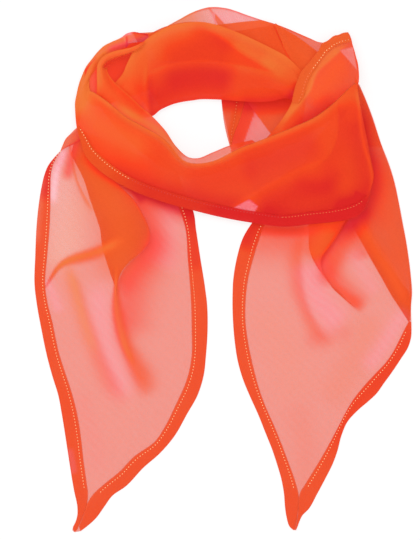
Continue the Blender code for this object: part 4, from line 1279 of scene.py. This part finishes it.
POCKET_CREASES = (
    (5, 4, 0.0, -1.0, 0.5, 0.15, (
        (-114.5, 197.9), (-117.2, 183.5), (-118.1, 172.7), (-118.1, 161.9), (-115.4, 142.1),
    )),
    (3, 3, 0.0, 1.4, 0.3, 0.0, (
        (-109.1, 199.7), (-114.5, 188.9), (-119, 178.1), (-121.2, 167.3), (-119, 158.3),
        (-110.9, 147.5),
    )),
)
pocket_grid, *pocket_look = creased(band(POCKET, 60, 50), POCKET_CREASES)
pocket = sheet_of(
    "inner_folds_left",
    lay(pocket_grid),
    4.0 + pocket_look[0],
    -0.3 + pocket_look[1],
    pocket_look[2],
)
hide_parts("folds_left")
lower_back_grid = lay(band(BACK_BAND, 90, 30, (0.16, 0.93), (0.04, 0.93), 0.45))
inner_back = sheet_of("inner_folds_back", lower_back_grid, 1.2, -0.3)
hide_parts("folds_back")
upper_back_grid = lay(band(BACK_BAND, 90, 30, (0.1, 1.0), (0.015, 0.985), 0.75))
inner_back_top = sheet_of("inner_folds_back_upper", upper_back_grid, 1.0, -0.1)

# where the front shows a small rosy place of only a few layers
PINK_WINDOW = ((8.8, 55.7), (23.2, 63.4), (31.3, 57.1), (27.7, 50.8))
left_inner_grid = lay(band(FRONT_BAND, 120, 30, (0.0, 0.9), (0.08, 0.92), 0.5))
left_clear = ease(np.linspace(0, 1, 120) / 0.25)[:, None] * (1 - within(left_inner_grid, PINK_WINDOW))
inner_front = sheet_of("inner_folds_front_left", left_inner_grid, left_clear)
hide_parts("folds_front_left")
upper_grid = lay(band(FRONT_BAND, 150, 60, (0.24, 1.0), (0.04, 0.97), 0.7))
upper_clear = (1 - within(upper_grid, PINK_WINDOW)) * ease(np.linspace(0, 1, 150) / 0.3)[:, None]
inner_front_upper = sheet_of("inner_folds_front_right", upper_grid, upper_clear, -0.1)
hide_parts("folds_front_right")
right_inner_grid = lay(band(FRONT_INNER_RIGHT, 100, 40))
right_clear = 1 - within(right_inner_grid, PINK_WINDOW)
inner_right = sheet_of("inner_folds_right", right_inner_grid, right_clear, -0.35)


# ---------------------------------------------------------------- back of the ring
# The strip passes behind the neck as a wide band, folded along its upper edge, rolled forward and
# drawn down to the opening.

BACK_CREASES = (
    # warm light at the right
    (9, 9, 0.0, 0.0, 0.35, 0.0, ((31.3, 190.7), (47.5, 181.7), (61.9, 170.9), (70.9, 160.1))),
    # light along the folded upper edge, and a bright dense line on it
    (6, 6, 0.0, 0.34, 0.7, 0.0, (
        (-110.9, 152.9), (-96.5, 168.2), (-90.2, 175.4), (-85.7, 185.3), (-80.3, 195.2), (-70.4, 205.1),
        (-58.7, 213.2), (-47.9, 218.6), (-34.4, 221.3), (-20.9, 222.2), (-9.2, 220.4), (7, 215),
        (24.1, 207.8), (42.1, 198.8), (56.5, 190.7), (70, 178.1), (83.5, 163.7),
    )),
    (9, 12, 0.3, 0.14, 0.45, 0.0, (
        (-92.9, 152.9), (-85.7, 165.5), (-79.4, 178.1), (-71.3, 190.7), (-58.7, 203.3), (-40.7, 212.3),
        (-16.4, 214.1),
    )),
    # rolled forward below, with painted shade that is deepest where it goes in
    (14, 12, -0.6, 0.54, -0.6, 0.0, (
        (-69.5, 142.1), (-60.5, 153.8), (-46.1, 161.9), (-28.1, 166.4), (-8.3, 167.3), (15.1, 163.7),
    )),
    (9, 10, -0.5, 0.2, -0.4, 0.0, (
        (-58.7, 169.1), (-42.5, 175.4), (-24.5, 179), (-6.5, 178.1), (15.1, 170.9),
    )),
    (12, 12, -0.5, 0.07, -0.3, 0.0, (
        (-56.9, 188.9), (-38.9, 196.1), (-19.1, 199.7), (-2.9, 197.9), (11.5, 190.7),
    )),
    # dense cloth at the left end, and along the edge of the opening
    (5, 5, 0.0, 0.8, 0.25, 0.0, ((-91.1, 165.5), (-83.9, 160.1), (-77.6, 154.7), (-71.3, 147.5))),
    (13, 13, 0.0, 0.9, -0.2, 0.0, (
        (-94.7, 169.1), (-83.9, 158.3), (-73.1, 147.5), (-64.1, 136.7), (-56.9, 127.7),
    )),
    (3, 3, 0.0, 1.2, -0.3, 0.0, (
        (-85.7, 129.5), (-65, 138.5), (-52.4, 146.6), (-43.4, 150.2), (-29.9, 152.5), (-20.9, 153.4),
        (-1.1, 152.9), (19.6, 151.6), (37.6, 150.7), (51.1, 152.9), (72.7, 161.9),
    )),
    # soft fold that stands up at the left, with painted shade along its right side
    (2.2, 2.2, 0.5, 0.07, 0.25, 0.0, (
        (-68.6, 188.9, 0.6), (-69.5, 176.3, 1), (-70.4, 161.9, 1), (-69.5, 147.5, 1), (-67.7, 133.1, 1),
    )),
    (4, 1.5, -0.3, 0.2, -0.3, 0.0, (
        (-65.9, 178.1), (-66.3, 167.3), (-65.9, 156.5), (-65, 145.7), (-64.1, 133.1),
    )),
    # low ridge across, lit from above
    (1.6, 5, 0.5, 0.07, 0.3, 0.0, (
        (-74.9, 167.3), (-63.2, 177.2), (-52.4, 181.7), (-34.4, 185.3), (-16.4, 186.5), (1.6, 184),
        (19.6, 180.8), (60.1, 170.9),
    )),
    # edge of the layer folded over it at the right
    (9, 1.5, 0.3, 0.07, 0.4, 0.0, (
        (-22.7, 219.5), (-4.7, 209.6), (5.2, 202.4), (15.1, 195.2), (34.9, 183.5), (55.6, 170.9),
    )),
    (1.5, 9, -0.2, 0.27, -0.25, 0.0, (
        (-16.4, 217.7), (-4.7, 209.6), (5.2, 202.4), (15.1, 195.2), (34.9, 183.5), (51.1, 172.7),
    )),
    (12, 12, 0.2, 0.07, 0.3, 0.0, (
        (4.3, 206.9), (20.5, 197.9), (34.9, 190.7), (51.1, 183.5), (65.5, 172.7),
    )),
    # shade where it goes under the turned-over fold
    (6, 5, 0.0, 0.34, -0.4, 0.0, ((11.5, 152.9), (34.9, 152), (51.1, 154.7), (69.1, 161.9))),
    (4, 4, 0.0, 0.5, -0.7, 0.0, ((52.9, 140.3), (59.2, 151.1), (63.7, 160.1), (67.3, 170.9))),
)
back_top_grid, *back_top_look = creased(band(BACK_BAND, 170, 60), BACK_CREASES)
back_band = sheet_of(
    "back_band_cloth",
    lay(back_top_grid),
    2.0 + back_top_look[0],
    back_top_look[1],
    back_top_look[2],
)
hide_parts("back_band")


# ---------------------------------------------------------------- turned-over fold at the right
# The upper end of the right tail turns over the back band and goes down behind the front. Its hem
# shows along its upper left side, sewn with the same topstitching.

TURNOVER = (
    (112, 213.4, 113.7, 210.5, 5, 6, 6, 0.5),
    (107.5, 212.8, 115, 206.9, 5.5, 7, 6, 0.5),
    (103.3, 210.9, 115.9, 202.4, 6, 8, 6, 0.5),
    (99.3, 210, 117.3, 197.9, 7, 10, 7, 0.5),
    (93.1, 205.3, 118.9, 191.6, 8, 12, 8, 0.5),
    (88.5, 202.9, 120.4, 186.2, 9, 14, 9, 0.5),
    (85.3, 196.6, 121.3, 179.9, 10, 15, 9, 0.5),
    (77.2, 186.2, 120.7, 165.5, 11, 17, 10, 0.5),
    (69.1, 176.3, 114.1, 154.7, 12, 19, 10, 0.5),
    (65.3, 167.3, 105.1, 143.9, 12, 19, 9, 0.45),
    (62.8, 158.3, 94.3, 133.1, 11, 18, 8, 0.45),
    (61, 149.3, 81.7, 125, 10, 16, 7, 0.45),
    (54.3, 137.6, 68.2, 117.8, 8, 13, 6, 0.45),
    (43.9, 124.1, 52.9, 110.6, 6, 9, 5, 0.5),
    (34.9, 113.8, 40.3, 102.5, 4, 6, 4, 0.5),
)
TURNOVER_CREASES = (
    # lit ridge beside the hem, and the shade along it
    (2, 9, 0.9, 0.3, 0.9, 0.0, (
        (115.9, 206.9), (99.7, 193.4), (90.7, 185.3), (84.1, 179), (79.9, 170.9), (77.2, 162.8),
        (70, 152), (61, 142.1), (47.5, 125.9),
    )),
    (3, 1.5, -0.25, 0.3, -0.15, 0.0, (
        (105.1, 199.7), (90.7, 187.1), (82.6, 179), (78.1, 170.9), (74.5, 161.9), (67.3, 152.9),
        (56.5, 140.3),
    )),
    # painted light down its middle, and painted shade along its lower right side
    (12, 12, 0.4, 0.9, 0.3, 0.0, (
        (115.9, 187.1), (105.1, 183.5), (96.1, 172.7), (85.3, 160.1), (74.5, 147.5),
    )),
    (6, 6, 0.0, 0.3, -0.3, 0.0, (
        (101.5, 156.5), (88.9, 147.5), (76.3, 136.7), (63.7, 127.7), (51.1, 120.5),
    )),
    (7, 7, -0.5, 0.88, -0.4, 0.0, (
        (121.3, 161.9), (110.5, 154.7), (99.7, 147.5), (88.9, 141.2), (78.1, 134.9), (60.1, 125.9),
    )),
    # dense line down its right edge, and light at its lower end
    (1.0, 1.0, 0.1, 0.61, 0.1, 0.0, (
        (109.6, 217.7), (113.7, 210.5), (115.9, 202.4), (118.9, 191.6), (121.3, 179.9), (120.4, 161.9),
    )),
    (4, 4, 0.2, 0.14, 0.3, 0.0, ((43.9, 120.5), (54.7, 133.1), (63.7, 143), (72.7, 154.7))),
)
# a rosy place at the upper right, where only the one layer lies
TURN_WINDOW = ((103.8, 196.6), (116.4, 200.2), (120, 179))
turn_grid, *turn_look = creased(band(TURNOVER, 110, 60), TURNOVER_CREASES)
turn_clear = within(turn_grid, TURN_WINDOW, 1.2)
turn_low = lay(turn_grid - np.array([0, 0, 1.2]))
turnover_lining = sheet_of(
    "turnover_second_layer", turn_low, 1.1 * (1 - turn_clear), -0.1 + turn_look[1]
)
turnover = sheet_of(
    "turnover_cloth",
    lay(turn_grid),
    1.7 + turn_look[0] * (1 - turn_clear) - 0.2 * turn_clear,
    turn_look[1] * (1 - turn_clear),
    0.15 * turn_clear,
)
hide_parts("turnover")
TURNOVER_HEM = (
    (112, 213.4, 114.4, 204.2),
    (107.5, 212.8, 110.1, 203.3),
    (103.3, 210.9, 104.7, 201.7),
    (99.3, 210, 100.4, 199.7),
    (93.1, 205.3, 96.6, 197),
    (88.5, 202.9, 92.5, 193.4),
    (85.3, 196.6, 89.4, 189.4),
    (77.2, 186.2, 83.1, 180.8),
    (69.1, 176.3, 77.2, 171.4),
    (65.3, 167.3, 74.2, 164.2),
    (62.8, 158.3, 72.3, 155.6),
    (61.3, 149.3, 67.3, 148.4),
)
turnover_hem, turnover_line = hem_of("turnover_edge_hem", TURNOVER_HEM, 90, plies=1.5, painted_light=0.45)
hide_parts("turnover_hem")
# the upper stitches have the lit thread and the lower ones the thread in painted shade
turnover_stitches = stitches("turnover_stitches", [turnover_line[2:50]])
turnover_lower_stitches = stitches("turnover_lower_stitches", [turnover_line[50:86]], shaded_thread)


# ---------------------------------------------------------------- front of the ring
# Two runs cross in front of the throat. The under one is a narrow fold that comes down from the
# left and shows along the opening; the upper one covers everything and carries the stitched hem.

FRONT_UNDER = (
    (-69.5, 205.1, -74, 196.1, 10, 11, 9, 0.5),
    (-77.6, 200.6, -80.3, 191.6, 11, 12, 11, 0.5),
    (-88.4, 197.9, -90.2, 188, 11, 14, 12, 0.5),
    (-100.1, 195, -97.8, 184.4, 11, 14.5, 12, 0.5),
    (-108.2, 190.7, -102.3, 182.6, 11, 15, 11, 0.5),
    (-112.4, 184.4, -104, 179.5, 11, 15, 9, 0.45),
    (-113.2, 175.4, -102.3, 174.5, 10, 15, 9, 0.4),
    (-113, 166.4, -97.4, 168.2, 10, 14, 8, 0.4),
    (-113.1, 155.6, -90.2, 161.5, 9, 13, 8, 0.4),
    (-107.3, 142.1, -83, 155.2, 8, 12, 7, 0.4),
    (-94.7, 125.9, -74, 146.6, 7, 11, 5, 0.45),
    (-81.2, 112.4, -65.9, 139.9, 8, 12, 6, 0.45),
    (-67.7, 100.7, -58.7, 132.8, 8, 12, 6, 0.45),
    (-54.2, 91.7, -51.3, 124.3, 8, 11, 6, 0.45),
    (-39.8, 84.5, -42.5, 111.2, 7, 10, 5, 0.45),
    (-25.4, 82.7, -32.2, 101.8, 7, 9, 4, 0.45),
    (-10.1, 85.4, -23.6, 100.5, 6, 8, 2, 0.45),
    (11.5, 92.6, -9.2, 105.9, 6, 8, 2, 0.45),
    (29.5, 98.9, 7, 112.4, 6, 8, 2, 0.45),
    (45.7, 103.4, 25.9, 116.9, 6, 8, 2, 0.45),
)
UNDER_FRONT_CREASES = (
    # light along the folded outer side and along the edge of the opening
    (5, 4, 0.0, 0.61, 0.85, 0.0, (
        (-64.1, 206.9), (-77.6, 201.1), (-88.4, 197.9), (-100.1, 195.2), (-108.2, 190.7),
        (-112.4, 184.4), (-113.2, 175.4), (-113, 166.4), (-110.9, 152.9),
    )),
    (1.1, 1.1, 0.0, 0.68, 0.4, 0.0, (
        (-102.8, 188.9), (-104.6, 183.5), (-104, 179.5), (-102.3, 174.5), (-97.4, 168.2),
        (-90.2, 161.5), (-83, 155.2), (-74, 146.6), (-65.9, 139.9), (-57.8, 132.2),
    )),
    (7, 7, 0.0, 0.54, 0.35, 0.0, (
        (-110, 188.9), (-108.2, 176.3), (-104.6, 163.7), (-95.6, 152), (-83.9, 141.2), (-69.5, 129.5),
    )),
    (3.5, 3.5, 0.0, 0.41, -0.1, 0.0, (
        (-105.5, 160.1), (-94.7, 149.3), (-82.1, 139.4), (-71.3, 133.1), (-60.5, 124.1),
    )),
    (1.0, 1.0, 0.0, 0.88, 0.1, 0.0, (
        (-69.5, 143.9), (-58.7, 132.8), (-51.3, 124.3), (-42.5, 111.2), (-32.2, 101.8), (-23.6, 100.5),
        (-9.2, 105.9), (7, 112.4), (24.1, 116),
    )),
    (3.5, 3.5, 0.0, 1.2, 0.7, 0.0, (
        (-100.1, 151.1), (-83.9, 140.3), (-71.3, 133.1), (-58.7, 125), (-49.7, 116), (-42.5, 107),
        (-33.5, 96.2),
    )),
    (7, 7, 0.0, 0.3, 0.35, 0.1, (
        (-74.9, 142.1), (-64.1, 133.1), (-56, 125), (-47.9, 114.2), (-40.7, 102.5), (-33.5, 93.5),
    )),
    (5, 5, 0.0, 0.3, 0.3, 0.12, (
        (-38.9, 100.7), (-24.5, 98), (-10.1, 102.5), (4.3, 107.9), (18.7, 111.5),
    )),
)
under_front_grid, *under_front_look = creased(band(FRONT_UNDER, 240, 70), UNDER_FRONT_CREASES)
# more layers at its left half and right of the middle; its upper left end fades inwards
wrapped = 1.5 * (1 - ease((under_front_grid[..., 0] + 51.5) / 18))
wrapped += 1.1 * ease(under_front_grid[..., 0] - 6.6)
into_fold = ease((under_front_grid[..., 1] - 176.3) / 6) * ease((np.linspace(0, 1, 70) - 0.22) / 0.5)
front_under = sheet_of(
    "front_under_cloth",
    lay(under_front_grid),
    (1.0 + wrapped + under_front_look[0]) * (1 - into_fold),
    under_front_look[1],
    under_front_look[2],
)
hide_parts("front_under")

LEFT_TURN = (
    (-131.6, 127.7, -119.4, 160.1, 2.5, 8, 8, 0.7),
    (-132.3, 133.1, -120.2, 163.3, 2.5, 8, 7, 0.7),
    (-133, 142.1, -120.3, 166.4, 2.5, 8, 7, 0.7),
    (-133.2, 150.2, -119.9, 170, 2.5, 8, 6, 0.65),
    (-131.8, 158.3, -118.5, 173.2, 2, 8, 6, 0.6),
    (-130, 166.4, -115.8, 176.3, 2, 8, 5, 0.6),
    (-126.8, 175.4, -111.8, 179.9, 2, 8, 5, 0.6),
    (-123.5, 182.6, -109.5, 184.4, 2, 8, 5, 0.55),
    (-118.1, 189.8, -106.4, 188.5, 2, 8, 5, 0.5),
    (-112.2, 197, -101.9, 191.6, 2, 8, 5, 0.5),
    (-107.3, 201.5, -97.4, 193.4, 2, 8, 5, 0.5),
    (-101, 204.8, -91.5, 195.2, 2, 8, 5, 0.5),
    (-92, 208.9, -84.3, 196.6, 2, 7, 4, 0.5),
    (-86.6, 212.8, -77.6, 198.4, 1.5, 6, 3, 0.5),
    (-80.3, 214.1, -72.2, 200.2, 1.5, 5, 3, 0.5),
    (-73.1, 212.9, -66.8, 202.4, 1.5, 4, 3, 0.5),
    (-65.9, 212.5, -62.3, 204.2, 1.5, 3, 2, 0.5),
    (-57.8, 212.3, -57.8, 206, 1.5, 2, 2, 0.5),
)
FRONT_CREASES = (
    # light along the folded upper edge, and on the left where it turns
    (3.5, 4, 0.0, 0.2, 0.65, 0.0, (
        (-125.3, 174.5), (-119, 160.1), (-106.4, 152), (-87.5, 136.7), (-73.1, 128.6), (-52.4, 116),
        (-32.6, 96.2), (-11.9, 96.2), (15.1, 108.4), (40.3, 117.8), (63.7, 127.3), (83.5, 136.7),
        (97.9, 147.5), (109.2, 158.3), (121.3, 170.9),
    )),
    (14, 14, 0.0, 0.14, 0.45, 0.0, (
        (-121.7, 187.1), (-128, 163.7), (-125.3, 149.3), (-118.1, 136.7), (-103.7, 125.9),
        (-83.9, 115.1), (-56.9, 102.5),
    )),
    (12, 12, 0.0, 0.07, 0.0, 0.0, (
        (-125.3, 116.9), (-110.9, 107.9), (-92.9, 97.1), (-73.1, 88.1), (-47.9, 79.1),
    )),
    (8, 8, 0.0, 0.07, 0.3, 0.0, (
        (101.5, 142.1), (108.7, 149.3), (115, 154.7), (115.9, 142.1), (114.1, 127.7),
    )),
    (1.2, 2.0, 0.0, 0.14, 0.5, 0.0, (
        (117.7, 170.9), (121.3, 145.7), (123.1, 127.7), (126.7, 109.7), (133, 89.9), (133.9, 80.9),
        (126.7, 58.4),
    )),
    (16, 16, 0.0, 0.2, -0.45, 0.0, ((11.5, 86.3), (40.3, 97.1), (64.6, 106.1), (91.6, 116.9))),
    (10, 10, 0.0, 0.3, 0.95, 0.0, (
        (-74.9, 212.3), (-89.3, 207.8), (-100.1, 200.6), (-110.9, 190.7), (-120.8, 179.9),
        (-127.1, 165.5), (-129.8, 149.3), (-128.9, 133.1),
    )),
    # gathered hollows with painted shade in them, and one low ridge with painted light
    (11, 12, -0.5, 0.2, -0.5, 0.0, (
        (119.5, 160.1), (121.3, 136.7), (122.2, 116.9), (125.8, 94.4), (126.7, 73.7), (114.1, 52.1),
    )),
    (10, 13, -1.0, 0.5, -0.7, 0.0, (
        (-114.5, 98.9), (-92.9, 84.5), (-65.9, 73.7), (-38.9, 66.5), (-11.9, 60.2), (15.1, 57.5),
        (34.9, 59.3),
    )),
    (12, 12, -1.2, 0.27, -0.2, 0.0, ((-38.9, 80.9), (-16.4, 80.9), (6.1, 84.5), (34.9, 86.3))),
    (15, 12, -1.5, 0.34, -0.6, 0.0, (
        (24.1, 52.1), (46.6, 61.1), (64.6, 66.5), (82.6, 70.1), (109.6, 75.5),
    )),
    (9, 9, -1.2, 0.14, -0.25, 0.0, (
        (60.1, 84.5), (73.6, 77.3), (87.1, 75.5), (99.7, 80.9), (106.9, 95.3),
    )),
    (13, 13, 0.0, 0.2, -0.6, 0.0, ((148.3, 77.3), (128.5, 59.3), (112.3, 54.8), (96.1, 53))),
    (9, 14, -0.6, 0.2, -0.7, 0.0, (
        (15.1, 50.3), (42.1, 48.5), (69.1, 49.4), (96.1, 53.9), (115.9, 61.1), (128.5, 71.9),
    )),
    (16, 1.3, -0.6, 0.14, -0.3, 0.0, (
        (103.3, 156.5), (103.3, 136.7), (102.4, 118.7), (96.1, 102.5), (79.9, 88.1),
    )),
    (2.2, 6, 0.8, 0.07, 0.25, 0.0, (
        (-6.5, 46.7), (9.7, 56.6), (24.1, 65.6), (42.1, 76.4), (61.9, 86.3), (79.9, 94.4),
        (100.6, 100.7),
    )),
    # thin folded lines at the left, above the turn
    (1.2, 2.5, 0.6, 0.34, 0.35, 0.0, (
        (-123.5, 174.5), (-120.8, 168.2), (-118.1, 161.9), (-111.8, 155.6), (-104.6, 150.2),
        (-96.5, 143.9),
    )),
    (2.2, 2.2, -0.6, 0.41, -0.4, 0.0, (
        (-112.7, 192.5), (-115.4, 181.7), (-117.2, 174.5), (-115.4, 166.4), (-110.9, 154.7),
    )),
    (3.5, 3.5, 0.0, -0.3, -0.9, 0.3, (
        (-107.3, 194.3), (-99.2, 198.8), (-89.3, 201.5), (-78.5, 203.8), (-65.9, 207.8), (-58.7, 210.5),
    )),
    (0.9, 0.9, 0.4, 1.2, -0.9, 0.0, ((-87, 211.4), (-86.6, 206), (-86.6, 201.5), (-87.5, 196.1))),
    (0.8, 0.8, 0.4, 1.2, -0.9, 0.0, (
        (-84.8, 213.7), (-77.6, 213.7), (-71.3, 212.3), (-65, 210), (-58.7, 207.8),
    )),
    (1.0, 1.0, 0.3, 0.9, -0.5, 0.0, ((-80.3, 201.5), (-74.9, 203.3), (-69.5, 206), (-63.2, 210.5))),
    (1.2, 1.2, 0.0, -1.2, -0.6, 0.6, ((-93.8, 207.8), (-89.7, 210.9), (-85.7, 212.5), (-81.2, 212.7))),
    (1.0, 1.0, 0.0, 0.68, 0.3, 0.0, (
        (-129.8, 120.5), (-133.2, 150.2), (-130, 166.4), (-123.5, 182.6), (-112.2, 197), (-101, 204.8),
        (-92, 208.9), (-86.6, 212.8), (-80.3, 214.1), (-52.4, 210.5),
    )),
)

# the band and the turn at its left are one piece, joined where the band starts
TURN_ROWS, COLUMNS = 180, 70
front_grid, *front_look = creased(band(FRONT_BAND, 230, COLUMNS), FRONT_CREASES)
front_laid = lay(front_grid)
turn_part, *turn_part_look = creased(band(LEFT_TURN, TURN_ROWS, COLUMNS), FRONT_CREASES)
step_up = front_laid[0, :, 2] - turn_part[0, :, 2]
turn_part[..., 2] += step_up[None] * (1 - ease(np.arange(TURN_ROWS) / 60))[:, None]
whole = np.concatenate([turn_part[:0:-1], front_laid])
whole_look = [np.concatenate([a[:0:-1], b]) for a, b in zip(turn_part_look, front_look)]

# its upper edge goes on a little, bends down and comes back underneath
overrun = (whole[:, -1:] - whole[:, -4:-3]) * np.array([0.25, 0.25, 0.0])
tuck = whole[:, -1:] + overrun - np.array([0, 0, 0.9])
back_in = whole[:, -5:-4] - np.array([0, 0, 3.0])
deep_in = whole[:, -10:-9] - np.array([0, 0, 4.5])
whole = np.concatenate([whole, tuck, back_in, deep_in], axis=1)
whole[..., 2] = np.maximum(whole[..., 2], 0.4)
whole_look = [np.concatenate([a, a[:, -1:], a[:, -1:], a[:, -1:]], axis=1) for a in whole_look]

# how thick each part looks: the bent edge is thin, and the turn thins out towards its inner edge
thinned = np.concatenate([np.ones(COLUMNS), [0.35, 0.1, 0.1]]) * np.ones((len(whole), 1))
left_part = ease((TURN_ROWS - 1 - np.arange(len(whole))) / 40)[:, None]
thinned[:, COLUMNS:] *= 1 - left_part
thinned[:, :COLUMNS] -= 0.85 * left_part * ease((np.linspace(0, 1, COLUMNS) - 0.72) / 0.28)
# a corner at the lower right with painted shade
SHADED_CORNER = ((118.2, 71.5), (128.5, 64.7), (125.8, 61.1), (116.4, 60.2))
window = within(whole, PINK_WINDOW)
corner = within(whole, SHADED_CORNER, 1.0)
dense = 1.4 * (1 - ease((whole[..., 0] + 101.9) / 55)) * (1 - ease((whole[..., 1] - 152.9) / 30))
front_band = sheet_of(
    "front_band_cloth",
    whole,
    ((1.9 + dense + whole_look[0]) * (1 - window) + 1.6 * window) * thinned,
    (whole_look[1] - 0.45 * corner) * (1 - window),
    whole_look[2] + 0.6 * window,
)
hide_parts("front_band", "left_turn")
turn_lining_grid = band(LEFT_TURN, 80, 30, (0.0, 0.72), (0.04, 1.0), 0.7)
turn_lining = sheet_of("left_turn_second_layer", turn_lining_grid, 1.0, 0.15)

FRONT_HEM = (
    (-131.6, 127.7, -129.8, 130),
    (-128.5, 116.5, -122.6, 119.2),
    (-123.9, 102.8, -116.7, 109.7),
    (-113.6, 91.3, -107.7, 100.7),
    (-100.4, 81.5, -96.5, 91.7),
    (-83.9, 72.4, -80.7, 82.3),
    (-56.9, 62, -54.2, 71.9),
    (-27.2, 53.5, -24.9, 63.4),
    (-2.9, 47.6, -1.1, 58),
    (25, 42.5, 25.9, 53),
    (55.6, 38.8, 55.2, 49.4),
    (78.1, 41, 76.3, 52.1),
    (98.8, 43.1, 96.6, 54.4),
    (112.3, 45.5, 109.6, 57.1),
    (122.2, 49.9, 118.6, 60.2),
    (127.6, 56.6, 124.5, 63.8),
    (129.9, 63.8, 128.5, 67.4),
)
FRONT_HEM_SHADES = (
    (14, 14, 0.0, 0.3, -0.9, 0.0, ((85.3, 41.3), (110.5, 48.5), (126.7, 59.3), (137.5, 79.1))),
    (40, 40, 0.0, 0.54, -0.85, 0.0, (
        (-112.7, 89.9), (-96.5, 80.9), (-65.9, 68.3), (-29.9, 58.4), (15.1, 48.5), (69.1, 44.9),
        (123.1, 53.9), (141.1, 71.9),
    )),
    (30, 30, 0.0, 0.27, -0.4, 0.0, (
        (-29.9, 56.6), (-2.9, 50.3), (33.1, 44.9), (78.1, 44.9), (114.1, 50.3), (141.1, 62.9),
    )),
)
front_hem, front_line = hem_of(
    "front_band_hem", FRONT_HEM, 220, stitched=0.8, painted_light=0.2, shades=FRONT_HEM_SHADES
)
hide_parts("front_hem")
# one row of stitches in three lengths: painted lit, painted deep shade in the folds, painted half shade
front_stitches = stitches("front_stitches_left", [front_line[3:52]])
dark_stitches = stitches("front_stitches_middle", [front_line[52:158]], deep_shade_thread)
shaded_stitches = stitches("front_stitches_right", [front_line[158:214]], shaded_thread)
